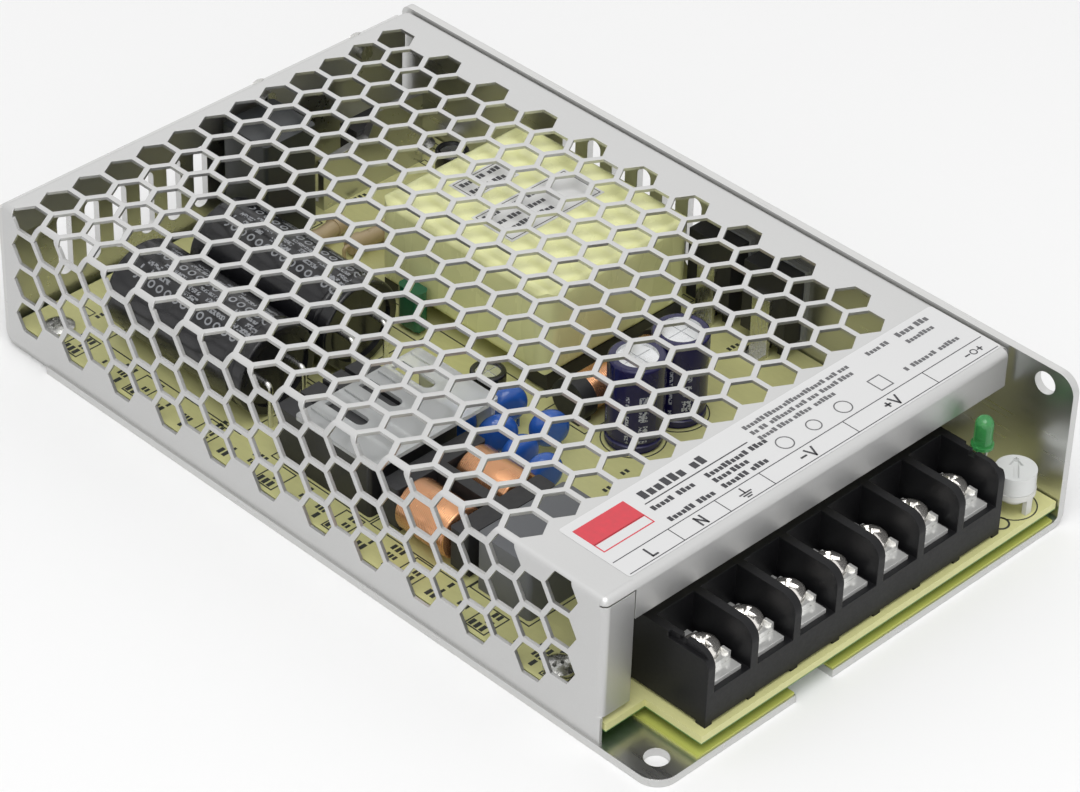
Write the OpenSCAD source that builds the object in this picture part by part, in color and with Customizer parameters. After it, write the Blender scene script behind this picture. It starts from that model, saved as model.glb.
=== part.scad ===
// Mesh case switching power supply.
// A folded aluminium chassis (base, right wall, back wall) carries a circuit board under a
// perforated steel cover, with a screw terminal block in the open front.
// +X is the chassis wall's side, -Y the terminal end, +Z up; the origin is at the bottom centre.

/* [Chassis] */
// Overall length of the case
case_l = 159; // [154:1:200]
// Overall width of the case
case_w = 97; // [96:1:120]
// Overall height of the case
case_h = 30; // [29.5:0.5:40]
// Thickness of the aluminium sheet
chassis_t = 1.5; // [1.2:0.1:2]
// Inside radius of the chassis folds
chassis_bend = 1; // [0.6:0.1:1.5]
// Radius of the base plate's open corners
plate_corner = 4; // [2:0.5:5]
// Radius of the right wall's top corners
wall_corner = 3.5; // [1:0.5:4]
// Width of the mounting notch in the base plate's front edge
notch_w = 8.6; // [5:0.2:12]
// Depth of that notch
notch_d = 3.4; // [2:0.2:4]
// Middle of the notch, from the base plate's left edge
notch_from_left = 35.5; // [30:0.5:60]
// Diameter of the through mounting holes
mount_hole = 4.2; // [3.2:0.1:5]
// Base mounting hole, from the left and front edges
base_hole_inset = 4.8; // [4:0.1:5]
// Wall mounting hole, from the front edge
wall_hole_inset = 5.9; // [4:0.1:7]
// Wall mounting hole, from the top edge
wall_hole_drop = 3.4; // [3:0.1:5]
// Core diameter of the threaded M3 mounting holes
tap_hole = 2.5; // [2.3:0.1:2.7]
// Spacing of the threaded base holes along the case
tap_pitch_y = 117; // [100:1:120]
// Spacing of the threaded base holes across the case
tap_pitch_x = 77; // [60:1:80]
// Number of ventilation slots in the back wall and in the right wall
slot_count = 6; // [3:1:6]
// Pitch of the ventilation slots
slot_pitch = 6.2; // [5:0.1:7]
// Width of a ventilation slot
slot_w = 3.2; // [2:0.1:4]

/* [Cover] */
// Thickness of the cover sheet
cover_t = 0.6; // [0.5:0.1:0.8]
// How far the cover's left face lies inside the base plate's edge
cover_inset = 0.5; // [0.3:0.1:1]
// How far the cover's top lies below the chassis wall's top
cover_drop = 0.3; // [0.1:0.1:0.5]
// Outside radius of the cover's folds
cover_bend = 1.2; // [1:0.1:1.5]
// From the front of the case to the front of the cover
cover_setback = 13; // [12:0.5:14]
// Height of the front lip
lip_h = 7; // [5:0.5:7.5]
// Width of the flange beside the terminal block
side_flange_w = 6.5; // [4:0.5:8]
// Height of the flange that lies inside the back wall
back_flange_h = 7.5; // [6.5:0.5:7.5]
// Height of the flange that lies inside the right wall
right_flange_h = 5; // [4.5:0.5:5.5]
// Pitch of the hexagonal perforation
hex_pitch = 7.1; // [6.8:0.1:7.2]
// Width of a hexagonal hole across its flats
hex_af = 6.1; // [5:0.1:6.2]
// Plain border behind the last row of holes
back_border = 2.7; // [2.5:0.1:4]
// Rows of holes in the top
top_rows = 20; // [16:1:20]
// Rows of holes that only the side wall has
side_rows_extra = 2; // [0:1:2]
// Rows of holes up the side wall
side_tiers = 3; // [2:1:3]
// Head diameter of the countersunk cover screws
cover_head_d = 5.4; // [5:0.1:5.6]

/* [Circuit board] */
// Thickness of the circuit board
board_t = 1.6; // [1:0.1:2]
// Height of the pillars under the board
pillar_h = 2.2; // [2:0.1:4]
// Diameter of the pillars
pillar_d = 6; // [5:0.5:7]
// Thickness of the insulating sheet on the base plate
insulation_t = 0.4; // [0.2:0.1:1]
// Width of the board's cut-out at the front left corner
board_cutout_w = 8.6; // [8:0.2:9.5]
// Depth of that cut-out
board_cutout_d = 12; // [10:0.5:12.5]
// Diameter of the case screws (M3)
screw_d = 3; // [2.5:0.1:3.4]

/* [Terminal block] */
// Number of screw terminals
terminals = 7; // [7:1:7]
// Space at the left of the block, from the case's edge
block_left = 11.7; // [11:0.1:13]
// Space at its right, for the trimmer and the lamp
block_right = 15.45; // [15:0.05:17]
// Thickness of the barriers
barrier_t = 1.6; // [1.2:0.1:1.6]
// Space between the top of the block and the cover's front lip
lip_gap = 1.2; // [0.8:0.1:2]
// Height of the cell floor above the board
sill_h = 6.45; // [6:0.05:7]
// Depth of the cells, front to back
cell_d = 12.5; // [12:0.1:13]
// Depth of the whole block
block_d = 18; // [17:0.5:19]
// Radius of the barriers' front top corners
barrier_r = 3; // [1:0.5:4]
// Thickness of the contact plates
contact_t = 0.8; // [0.6:0.1:1]
// Thickness of the clamp plates
clamp_t = 1; // [0.8:0.1:1.2]
// Thread diameter of the terminal screws
terminal_screw_d = 3.5; // [3:0.1:3.6]
// Space between a screw's head and the barriers
head_gap = 0.6; // [0.5:0.1:1]
// Height of their heads
head_h = 2.2; // [1.8:0.1:2.4]
// Travel of a clamp plate as its screw is undone
clamp_travel = 3; // [2:0.5:3]

/* [Trimmer and lamp] */
// Diameter of the trimmer
trimmer_d = 7.4; // [6:0.1:8]
// Height of the trimmer's knob
knob_h = 3.4; // [2:0.1:4]
// Height of the trimmer's legs
trimmer_leg_h = 3.2; // [2:0.1:4]
// Diameter of the lamp
lamp_d = 3.2; // [2.9:0.1:3.4]
// Height of the lamp's legs
lamp_leg_h = 12; // [8:0.5:13]

/* [Capacitors] */
// Diameter of the two reservoir capacitors
bulk_d = 17; // [15:0.5:18]
// Space between the mains choke and the reservoir capacitors
bulk_front_gap = 9; // [7:0.5:12]
// Space between the reservoir capacitors
bulk_gap = 1.8; // [1:0.1:3]
// Diameter of the two output capacitors
output_d = 10; // [8:0.5:10.2]
// Height of the output capacitors
output_h = 17.3; // [12:0.1:20]
// Diameter of the blue disc capacitors
disc_d = 7; // [5:0.5:8]
// Thickness of the disc capacitors
disc_t = 3.4; // [2.5:0.1:4]

/* [Transformer] */
// Space between the reservoir capacitors and the transformer
transformer_gap = 8.3; // [8:0.1:12]
// Space between the transformer and the right wall
transformer_wall_gap = 6.8; // [6.5:0.1:10]
// Length of the transformer
transformer_l = 41.7; // [36:0.1:42]
// Space between the transformer and the cover
transformer_top_gap = 2.9; // [1:0.1:5]
// Height of the bobbin's foot under it
bobbin_h = 3.7; // [3:0.1:4.5]
// Radius of the taped part's corners
tape_r = 3; // [1:0.5:5]

/* [Chokes] */
// Outside diameter of the filter choke's windings
winding_d = 9.4; // [8:0.1:9.8]
// Length of those windings
winding_l = 12.2; // [10:0.1:13]
// Distance between the two windings' axes
winding_spacing = 13; // [11:0.5:14]
// Diameter of the winding wire
wire_d = 0.7; // [0.6:0.1:1.4]
// Width of the mains choke
mains_choke_w = 20; // [18:0.5:21]
// Length of the mains choke
mains_choke_l = 22.8; // [20:0.1:23]
// Height of the mains choke
mains_choke_h = 10.7; // [9:0.1:12]
// Width of the clear bridge over it
bridge_w = 28; // [26:0.5:28.5]
// Length of the clear bridge
bridge_l = 19.5; // [18:0.5:20]
// Thickness of the clear bridge
bridge_t = 0.8; // [0.6:0.1:1]

/* [Small parts] */
// Width of the line capacitor
line_capacitor_w = 19.5; // [17:0.5:20]
// Depth of the line capacitor
line_capacitor_d = 12; // [10:0.5:13]
// Height of the line capacitor
line_capacitor_h = 11.2; // [9:0.1:14]
// Width of the relay at the back
relay_w = 12; // [10:0.5:12.5]
// Depth of the relay
relay_d = 11.8; // [10:0.1:12]
// Space between the relay and the cover
relay_top_gap = 2.6; // [1:0.1:6]
// Width of a power package on the right wall
package_w = 10; // [9:0.5:10.5]
// Thickness of a power package
package_t = 4.4; // [4:0.1:4.8]
// Space between the wall pads and the flange above them
pad_gap = 1.9; // [0.5:0.1:4]
// Thickness of the rear heat sink
sink_t = 1.5; // [1:0.1:1.8]
// Head diameter of the board screws
board_screw_head = 5.5; // [5:0.1:6]

/* [Hidden] */
$fn = 64;

slack = 0.1;                       // clearance of pieces that drop in beside each other
seam = 0.3;                        // open seam between neighbouring flanges
run_fit = 0.05;                    // radial clearance of a turning shaft
eps = 0.01;                        // overlap of cutting tools past a face

x_left = -case_w / 2;
x_right = case_w / 2;
y_front = -case_l / 2;
y_back = case_l / 2;

// Chassis
fold_r = chassis_bend + chassis_t; // outside radius of a chassis fold
wall_in = x_right - chassis_t;     // inner face of the right wall
back_in = y_back - chassis_t;      // inner face of the back wall
ledge_start = 12.5;                // the base plate's ledge begins this far from the back

// Cover
top_z = case_h - cover_drop;
under_z = top_z - cover_t;         // the cover's underside
cover_l = x_left + cover_inset;
cover_in = cover_l + cover_t;      // inner face of the cover's left wall
cover_r = wall_in;                 // the right flange lies against the chassis wall
cover_f = y_front + cover_setback;
cover_b = back_in;                 // the back flange lies against the back wall
cover_z0 = chassis_t;              // the cover's left wall stands on the base plate
flat_l = cover_l + cover_bend;     // the flat top begins where the left fold ends
flat_r = cover_r - cover_bend;
flat_f = cover_f + cover_bend;
flat_b = cover_b - cover_bend;
flat_top = top_z - cover_bend;
cover_screw_z = top_z - right_flange_h / 2 - 0.3;
back_screw_z = top_z - back_flange_h / 2;

// Perforation, set out on the flat sheet before it is folded
hex_r = hex_af / sqrt(3);
row_pitch = hex_pitch * sqrt(3) / 2;
fold_arc = (cover_bend - cover_t / 2) * PI / 2;
row_1_y = cover_b - back_border - hex_r;
fold_hex_x = flat_l - 0.2;         // middle of the holes that lie on the fold
top_columns = floor((flat_r - hex_af / 2 - fold_hex_x) / hex_pitch);
function row_y(j) = row_1_y - j * row_pitch;
function is_odd(j) = j % 2 == 1;
function fold_z(x) = flat_top + fold_arc - (flat_l - x);
side_z_even = fold_z(fold_hex_x) - hex_pitch;
side_z_odd = fold_z(fold_hex_x) - hex_pitch / 2;
function side_z(j, k) = (is_odd(j) ? side_z_odd : side_z_even) - k * hex_pitch;

// Board and what stands on it
pillar_z = chassis_t;
board_z0 = chassis_t + pillar_h;
board_z = board_z0 + board_t;
board_l = cover_in + seam;
board_r = wall_in - seam;
board_f = y_front + 0.5;
board_b = back_in - cover_t - 0.6;
pillar_inset = 7;
pillar_y = [board_f + 26, board_b - pillar_inset];
pillar_x = [board_l + 4, board_r - 4];

// Terminal block
block_x = x_left + block_left;
block_w = case_w - block_left - block_right;
terminal_pitch = (block_w - barrier_t) / terminals;
block_y = y_front + 1.5;
foot_h = 0.6;
sill_z = board_z + sill_h;
block_z = top_z - lip_h - lip_gap;
contact_z = sill_z + contact_t;
head_z = contact_z + clamp_t;
cell_w = terminal_pitch - barrier_t;
head_d = cell_w - 2 * head_gap;
screw_y = block_y + 6.8;
clamp_w = cell_w - 0.7;
shank_l = 6.6;
function cell_x(i) = block_x + barrier_t / 2 + (i + 0.5) * terminal_pitch;

// Trimmer and lamp
trimmer_x = wall_in - 6.3;
trimmer_y = y_front + 5;
stem_d = 3;
lamp_x = block_x + block_w + 3.45;
lamp_y = y_front + 9.3;
lamp_h = 5.4;
lamp_rim = 0.6;

// Capacitors
bulk_x = cover_in + 8;             // left edge of the pair
bulk_back = board_b - 15.3;        // their back ends
bulk_z = board_z + bulk_d / 2;
bulk_right = bulk_x + 2 * bulk_d + bulk_gap;
function bulk_axis(i) = bulk_x + bulk_d / 2 + i * (bulk_d + bulk_gap);

// Transformer, and what stands in front of it
transformer_x = bulk_right + transformer_gap;
transformer_w = wall_in - transformer_wall_gap - transformer_x;
transformer_y = back_in - 37.5 - transformer_l;
transformer_back = transformer_y + transformer_l;
tape_z = board_z + bobbin_h;
transformer_h = under_z - transformer_top_gap - tape_z;
output_y = transformer_y - 18.2;
output_x = transformer_x + 3.1;
choke_y = transformer_y - 7.2;

// Line side, set out from the front
filter_x = cover_in + 7.1;
filter_y = y_front + 51.8;         // front of the filter choke
yoke_d = 4;
mains_choke_y = filter_y + 22.4;
bulk_l = bulk_back - (mains_choke_y + mains_choke_l + bulk_front_gap);

// ---------------------------------------------------------------- shared shapes

// Extrudes a profile drawn in (y, z) along +X from x
module yz(x, length) {
    translate([x, 0, 0]) rotate([90, 0, 90]) linear_extrude(length) children();
}

// Extrudes a profile drawn in (x, z) along +Y from y
module xz(y, length) {
    translate([0, y + length, 0]) rotate([90, 0, 0]) linear_extrude(length) children();
}

// Quarter ring in the first quadrant: the section of a fold, with a tongue into each flat sheet
module fold_section(r, t) {
    difference() {
        intersection() {
            circle(r);
            square(r);
        }
        circle(r - t);
    }
    translate([-eps, r - t]) square([2 * eps, t]);
    translate([r - t, -eps]) square([t, 2 * eps]);
}

// Rectangle from (0, 0) with all corners rounded
module round_rect(w, h, r) {
    translate([r, 0]) square([w - 2 * r, h]);
    translate([0, r]) square([w, h - 2 * r]);
    for (x = [r, w - r], y = [r, h - r]) translate([x, y]) circle(r);
}

// What is cut from a corner at the origin to round it, the sheet lying in +x +y
module corner_waste(r) {
    difference() {
        translate([-eps, -eps]) square(r + eps);
        translate([r, r]) circle(r);
    }
}

// Countersunk screw with its head flush with z = 0 and its shank down, with a cross recess
module flat_screw(d, hd, length) {
    difference() {
        union() {
            translate([0, 0, -(hd - d) / 2]) cylinder(d1 = d, d2 = hd, h = (hd - d) / 2);
            translate([0, 0, -length]) cylinder(d = d, h = length - eps);
        }
        for (a = [0, 90]) rotate(a) translate([-hd / 3.4, -hd / 14, -0.7]) cube([hd / 1.7, hd / 7, 1]);
    }
}

// Countersink from z = 0 down, for such a head
module countersink(d, hd) {
    depth = (hd - d) / 2 + slack;
    translate([0, 0, -depth]) cylinder(d1 = d, d2 = hd + 2 * slack + eps, h = depth + eps);
}

// Upright slot with round ends, centred at the origin
module slot_2d(w, h) {
    square([w, h - w], center = true);
    for (s = [-1, 1]) translate([0, s * (h - w) / 2]) circle(w / 2);
}

// Hexagonal holes' outlines and the paths that cut them from a plate
function hex_points(c) = [for (k = [0:5]) c + hex_r * [sin(60 * k), cos(60 * k)]];
function hex_path(i) = [for (k = [0:5]) 4 + 6 * i + k];

// Rectangular sheet a..b, in 2D, with a hexagon at each centre
module perforated(a, b, centres) {
    rim = [a, [b[0], a[1]], b, [a[0], b[1]]];
    points = concat(rim, [for (c = centres) each hex_points(c)]);
    paths = concat([[0, 1, 2, 3]], [for (i = [0:len(centres) - 1]) hex_path(i)]);
    polygon(points, paths);
}

// Pan head screw standing on z = 0, its head up and its shank down, with a cross recess
module pan_screw(d, hd, hh, length) {
    difference() {
        union() {
            intersection() {
                cylinder(d = hd, h = hh);
                translate([0, 0, hh - hd * 0.9]) sphere(hd * 0.9);
            }
            translate([0, 0, -length]) cylinder(d = d, h = length + eps);
        }
        for (a = [0, 90]) rotate(a) translate([-hd / 3.4, -hd / 14, hh * 0.45]) cube([hd / 1.7, hd / 7, hh]);
    }
}

// Round wire wound side by side round an axis along +Z
module coil(outer_d, length, wire) {
    turns = floor(length / wire + eps);
    rotate_extrude() {
        square([outer_d / 2 - wire / 2, turns * wire]);
        for (i = [0:turns - 1]) translate([outer_d / 2 - wire / 2, (i + 0.5) * wire]) circle(d = wire);
    }
}

// Upright electrolytic capacitor: sleeve rolled over a scored aluminium top, on a rubber foot
module can(d, h) {
    difference() {
        union() {
            cylinder(d = d - 0.8, h = 0.6);
            translate([0, 0, 0.5]) rotate_extrude() difference() {
                union() {
                    square([d / 2 - 0.5, h - 0.5]);
                    square([d / 2, h - 1]);
                    translate([d / 2 - 0.5, h - 1]) circle(0.5);
                }
                translate([d / 2 + 0.25, 1.6]) circle(0.6);
                translate([0, h - 0.85]) square([d * 0.36, 1]);
            }
        }
        for (a = [0, 90]) rotate(a) translate([-d * 0.3, -0.1, h - 0.55]) cube([d * 0.6, 0.2, 1]);
    }
}

// Box with its upright edges rounded
module soft_box(w, d, h, r) {
    linear_extrude(h) round_rect(w, d, r);
}

// Lead that leaves along +X, bends round and runs down
module bent_lead(d, reach, drop, bend) {
    rotate([0, 90, 0]) cylinder(d = d, h = reach - bend);
    translate([reach - bend, 0, -bend]) rotate([90, 0, 0])
        rotate_extrude(angle = 90) translate([bend, 0]) circle(d = d);
    translate([reach, 0, -drop]) cylinder(d = d, h = drop - bend);
}

// Wire leg standing on the board
module leg(x, y, d, h) {
    translate([x, y, board_z]) cylinder(d = d, h = h, $fn = 24);
}

// ---------------------------------------------------------------- chassis

module base_plate_2d() {
    difference() {
        translate([x_left, y_front]) square([case_w - fold_r, case_l - fold_r]);
        translate([x_left, y_front]) corner_waste(plate_corner);
        translate([x_left - 1, y_back - ledge_start])
            square([1 + cover_in - x_left + slack, ledge_start + 1]);
        translate([x_left + notch_from_left - notch_w / 2, y_front - 1]) square([notch_w, 1 + notch_d]);
        translate([x_left + base_hole_inset, y_front + base_hole_inset]) circle(d = mount_hole);
        for (x = [-0.5, 0.5], y = [-0.5, 0.5])
            translate([x * tap_pitch_x, y * tap_pitch_y]) circle(d = tap_hole);
    }
}

module right_wall_2d() {
    slots_mid = y_front + 99.7;
    slots_low = chassis_t + 7.5;
    slots_high = top_z - right_flange_h - 0.7;
    difference() {
        translate([y_front, fold_r]) square([case_l, case_h - fold_r]);
        translate([y_front, case_h]) mirror([0, 1]) corner_waste(wall_corner);
        translate([y_back, case_h]) mirror([1, 0]) mirror([0, 1]) corner_waste(wall_corner / 2);
        translate([y_front + wall_hole_inset, case_h - wall_hole_drop]) circle(d = mount_hole);
        for (i = [0:slot_count - 1])
            translate([slots_mid + (i - (slot_count - 1) / 2) * slot_pitch, (slots_low + slots_high) / 2])
                slot_2d(slot_w, slots_high - slots_low);
        for (y = cover_screw_y) translate([y, cover_screw_z]) circle(d = screw_d + 2 * slack);
    }
}

module back_wall_2d() {
    slots_mid = x_left + 29.4;
    slots_low = board_z + 3.6;
    slots_high = top_z - back_flange_h - 0.5;
    left = cover_in + slack;
    difference() {
        translate([left, fold_r]) square([x_right - fold_r - seam - left, under_z - 0.9 - fold_r]);
        for (i = [0:slot_count - 1])
            translate([slots_mid + (i - (slot_count - 1) / 2) * slot_pitch, (slots_low + slots_high) / 2])
                slot_2d(slot_w, slots_high - slots_low);
        for (x = back_screw_x) translate([x, back_screw_z]) circle(d = screw_d + 2 * slack);
    }
}

// Puts a child at each cover screw, its head towards the outside
module at_cover_screws() {
    for (y = cover_screw_y) translate([x_right, y, cover_screw_z]) rotate([0, 90, 0]) children();
    for (x = back_screw_x) translate([x, y_back, back_screw_z]) rotate([-90, 0, 0]) children();
}

module folded_chassis() {
    left = cover_in + slack;
    union() {
        linear_extrude(chassis_t) base_plate_2d();
        yz(wall_in, chassis_t) right_wall_2d();
        xz(back_in, chassis_t) back_wall_2d();
        xz(y_front, case_l) translate([x_right - fold_r, fold_r]) mirror([0, 1])
            fold_section(fold_r, chassis_t);
        yz(left, x_right - fold_r - seam - left) translate([y_back - fold_r, fold_r]) mirror([0, 1])
            fold_section(fold_r, chassis_t);
    }
}

module chassis() {
    color("silver") difference() {
        folded_chassis();
        at_cover_screws() countersink(screw_d + 2 * slack, cover_head_d);
    }
}

// ---------------------------------------------------------------- cover

cover_screw_y = [cover_f + 30, cover_b - 20];
back_screw_x = [x_left + 60, wall_in - 12];

top_holes = [for (j = [0:top_rows - 1]) for (i = [1:top_columns])
    if (fold_hex_x + (i - (is_odd(j) ? 0.5 : 0)) * hex_pitch < flat_r - hex_af / 2)
        [fold_hex_x + (i - (is_odd(j) ? 0.5 : 0)) * hex_pitch, row_y(j)]];

// Side holes as (y, z); those that run into the fold are cut afterwards
side_holes = [for (j = [0:top_rows + side_rows_extra - 1]) for (k = [0:side_tiers - 1])
    if (side_z(j, k) + hex_af / 2 < flat_top) [row_y(j), side_z(j, k)]];
fold_rows = [for (j = [0:top_rows + side_rows_extra - 1]) j];

module hex_2d(c) {
    polygon(hex_points(c));
}

// A hexagon whose points lie along the first axis, for the (y, z) plane
module hex_yz_2d(c) {
    translate(c) rotate(90) hex_2d([0, 0]);
}

module side_panel_2d() {
    turned = [for (c = side_holes) [-c[1], c[0]]];
    rotate(-90) perforated([-flat_top, flat_f], [-cover_z0, cover_b - seam], turned);
}

// Holes that wrap round the left fold
module fold_cutters() {
    for (j = fold_rows) {
        if (is_odd(j))
            yz(cover_l - 1, cover_bend + 1 + eps) hex_yz_2d([row_y(j), side_z_odd]);
        if (!is_odd(j) && j < top_rows) {
            translate([0, 0, flat_top]) linear_extrude(cover_bend + 1) hex_2d([fold_hex_x, row_y(j)]);
            yz(cover_l - 1, cover_bend + 1 + eps) hex_yz_2d([row_y(j), side_z_even + hex_pitch]);
        }
    }
}

module cover_sheet() {
    flange_x = cover_l + side_flange_w;
    lip_l = flange_x + seam;
    translate([0, 0, under_z]) linear_extrude(cover_t)
        perforated([flat_l, flat_f], [flat_r, flat_b], top_holes);
    yz(cover_l, cover_t) side_panel_2d();
    // folds from the top panel: left, right, front and back
    xz(flat_f, cover_b - seam - flat_f) translate([flat_l, flat_top]) mirror([1, 0])
        fold_section(cover_bend, cover_t);
    xz(flat_f, flat_b - flat_f) translate([flat_r, flat_top]) fold_section(cover_bend, cover_t);
    yz(lip_l, flat_r - lip_l) translate([flat_f, flat_top]) mirror([1, 0])
        fold_section(cover_bend, cover_t);
    yz(flat_l, flat_r - flat_l) translate([flat_b, flat_top]) fold_section(cover_bend, cover_t);
    // flange inside the right wall
    difference() {
        translate([cover_r - cover_t, flat_f, top_z - right_flange_h])
            cube([cover_t, flat_b - flat_f, right_flange_h - cover_bend]);
        for (y = cover_screw_y) yz(cover_r - 1, 2) translate([y, cover_screw_z]) circle(d = screw_d);
    }
    // front lip
    translate([lip_l, cover_f, top_z - lip_h]) cube([flat_r - lip_l, cover_t, lip_h - cover_bend]);
    // flange inside the back wall
    difference() {
        translate([flat_l, cover_b - cover_t, top_z - back_flange_h])
            cube([flat_r - flat_l, cover_t, back_flange_h - cover_bend]);
        for (x = back_screw_x) xz(cover_b - 1, 2) translate([x, back_screw_z]) circle(d = screw_d);
    }
    // flange folded from the left wall beside the terminal block
    translate([cover_l, cover_f, 0]) {
        foot = board_z + 1.2;
        head = flat_top - seam;
        translate([cover_bend, cover_bend, foot]) linear_extrude(head - foot) mirror([1, 0]) mirror([0, 1])
            fold_section(cover_bend, cover_t);
        translate([cover_bend, 0, foot]) cube([side_flange_w - cover_bend, cover_t, head - foot]);
        translate([0, 0, cover_z0]) cube([cover_t, cover_bend, foot - cover_z0]);
    }
}

module mesh_cover() {
    color("gainsboro") difference() {
        cover_sheet();
        fold_cutters();
    }
}

module cover_screws() {
    color("silver") at_cover_screws() flat_screw(screw_d, cover_head_d, chassis_t + cover_t + 1.4);
}

// ---------------------------------------------------------------- board

module insulation_sheet() {
    left = x_left + 9.1;
    color("yellowgreen") difference() {
        translate([left, y_front + 0.3, chassis_t])
            cube([x_right - fold_r - left, back_in - fold_r - y_front, insulation_t]);
        translate([x_left + notch_from_left - notch_w / 2 - slack, y_front - 1, 0])
            cube([notch_w + 2 * slack, 1 + notch_d + slack, case_h]);
        for (x = pillar_x, y = pillar_y) translate([x, y, 0]) cylinder(d = pillar_d + 2 * slack, h = case_h);
        for (x = [-0.5, 0.5], y = [-0.5, 0.5])
            translate([x * tap_pitch_x, y * tap_pitch_y, 0]) cylinder(d = tap_hole + 2, h = case_h);
    }
}

module circuit_board() {
    color("khaki") translate([0, 0, board_z0]) linear_extrude(board_t) difference() {
        translate([board_l, board_f]) square([board_r - board_l, board_b - board_f]);
        translate([board_l - 1, board_f - 1]) square([board_cutout_w + 1, board_cutout_d + 1]);
        for (x = pillar_x, y = pillar_y) translate([x, y]) circle(d = screw_d + 2 * slack);
    }
}

module board_pillars() {
    color("silver") for (x = pillar_x, y = pillar_y) translate([x, y, pillar_z]) difference() {
        cylinder(d = pillar_d, h = pillar_h);
        translate([0, 0, -eps]) cylinder(d = screw_d, h = pillar_h + 1);
    }
}

module board_screws() {
    color("silver") for (x = pillar_x, y = pillar_y) translate([x, y, board_z])
        pan_screw(screw_d, board_screw_head, 1.8, board_t + pillar_h);
}

// ---------------------------------------------------------------- terminal block

// Outline of a barrier in (y, z): the front top corner is rounded
module barrier_2d() {
    height = block_z - sill_z;
    difference() {
        translate([block_y, sill_z - eps]) square([cell_d + eps, height + eps]);
        translate([block_y, block_z]) mirror([0, 1]) corner_waste(barrier_r);
    }
}

module terminal_block() {
    pocket_y = block_y + 5.4;
    color([0.16, 0.16, 0.17]) difference() {
        union() {
            translate([block_x, block_y, board_z + foot_h]) cube([block_w, block_d, sill_h - foot_h]);
            translate([block_x, block_y + cell_d, sill_z - eps])
                cube([block_w, block_d - cell_d, block_z - sill_z + eps]);
            for (i = [0:terminals]) {
                yz(block_x + i * terminal_pitch, barrier_t) barrier_2d();
                for (y = [block_y, block_y + block_d - 2])
                    translate([block_x + i * terminal_pitch, y, board_z]) cube([barrier_t, 2, foot_h + eps]);
            }
        }
        // pivot pockets of the snap-on guard, in the two end barriers
        for (x = [block_x, block_x + block_w - barrier_t])
            translate([x - eps, pocket_y, block_z - 0.9]) cube([barrier_t + 2 * eps, 1.2, 1]);
        // wells below the screws, and slots where the contact plates run down to the board
        for (i = [0:terminals - 1]) translate([cell_x(i), screw_y, 0]) {
            translate([0, 0, head_z - shank_l - 0.6]) cylinder(d = terminal_screw_d + 0.8, h = shank_l);
            translate([-1.6, cell_d - 8.2 , board_z - 1]) cube([3.2, 1, sill_h + 1 + eps]);
        }
        // ledge along the outer top edge of the left end barrier
        translate([block_x - eps, block_y - 1, block_z - 1.2]) cube([0.6, 9.5, 2]);
        translate([block_x + block_w - 0.6 + eps, block_y - 1, block_z - 1.2]) cube([0.6, 9.5, 2]);
    }
}

module contact_plates() {
    width = cell_w - 2 * slack;
    color("gainsboro") for (i = [0:terminals - 1]) translate([cell_x(i), 0, 0]) difference() {
        union() {
            translate([-width / 2, block_y + 1, sill_z]) cube([width, cell_d - 1 - slack, contact_t]);
            translate([-1.5, screw_y + cell_d - 8.2 + slack, board_z])
                cube([3, contact_t, sill_h + contact_t]);
        }
        translate([0, screw_y, sill_z - 1]) cylinder(d = terminal_screw_d + 2 * run_fit, h = 3);
    }
}

module clamp_plate(i) {
    color("silver") translate([cell_x(i), screw_y, contact_z]) difference() {
        union() {
            translate([-clamp_w / 2, -clamp_w / 2, 0]) cube([clamp_w, clamp_w, clamp_t]);
            for (s = [-1, 1]) translate([s * (clamp_w / 2 - 0.4) - 0.4, -clamp_w / 2, clamp_t - eps])
                cube([0.8, clamp_w * 0.22, 0.7]);
        }
        translate([0, 0, -1]) cylinder(d = terminal_screw_d + 2 * run_fit, h = 3);
        for (s = [-1, 1]) translate([s * clamp_w * 0.3 - 0.2, -clamp_w / 2 - 1, -eps])
            cube([0.4, clamp_w + 2, 0.25]);
    }
}

module terminal_screw(i) {
    color("silver") translate([cell_x(i), screw_y, head_z]) rotate(15 * i)
        pan_screw(terminal_screw_d, head_d, head_h, shank_l);
}

// ---------------------------------------------------------------- trimmer and lamp

module trimmer_base() {
    ring_h = 1;
    color("whitesmoke") translate([trimmer_x, trimmer_y, board_z]) difference() {
        union() {
            translate([0, 0, trimmer_leg_h]) cylinder(d = trimmer_d, h = ring_h);
            translate([0, 0, trimmer_leg_h - 1.4]) cylinder(d = trimmer_d * 0.62, h = 1.5);
            for (a = [35, 145, 270]) rotate(a) translate([trimmer_d / 2 - 1.1, -0.7, 0])
                cube([0.9, 1.4, trimmer_leg_h + eps]);
        }
        translate([0, 0, trimmer_leg_h - 0.8]) cylinder(r = stem_d / 2 + run_fit, h = 3);
    }
}

module trimmer_knob() {
    seat = trimmer_leg_h + 1 + run_fit;
    color("lightgrey") translate([trimmer_x, trimmer_y, board_z + seat]) difference() {
        union() {
            cylinder(d = trimmer_d - 0.3, h = knob_h);
            translate([0, 0, -1.5]) cylinder(d = stem_d, h = 1.6);
        }
        rotate(40) {
            translate([-trimmer_d * 0.36, -0.45, knob_h - 0.8]) cube([trimmer_d * 0.72, 0.9, 1]);
            translate([trimmer_d * 0.1, 0, knob_h - 0.5]) linear_extrude(1)
                polygon([[trimmer_d * 0.3, 0], [0, -trimmer_d * 0.16], [0, trimmer_d * 0.16]]);
        }
    }
}

module lamp_lens() {
    color([0.2, 0.75, 0.3, 0.8]) translate([lamp_x, lamp_y, board_z + lamp_leg_h]) {
        cylinder(d = lamp_d + 0.7, h = lamp_rim);
        cylinder(d = lamp_d, h = lamp_rim + lamp_h - lamp_d / 2);
        translate([0, 0, lamp_rim + lamp_h - lamp_d / 2]) sphere(d = lamp_d);
    }
}

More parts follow.
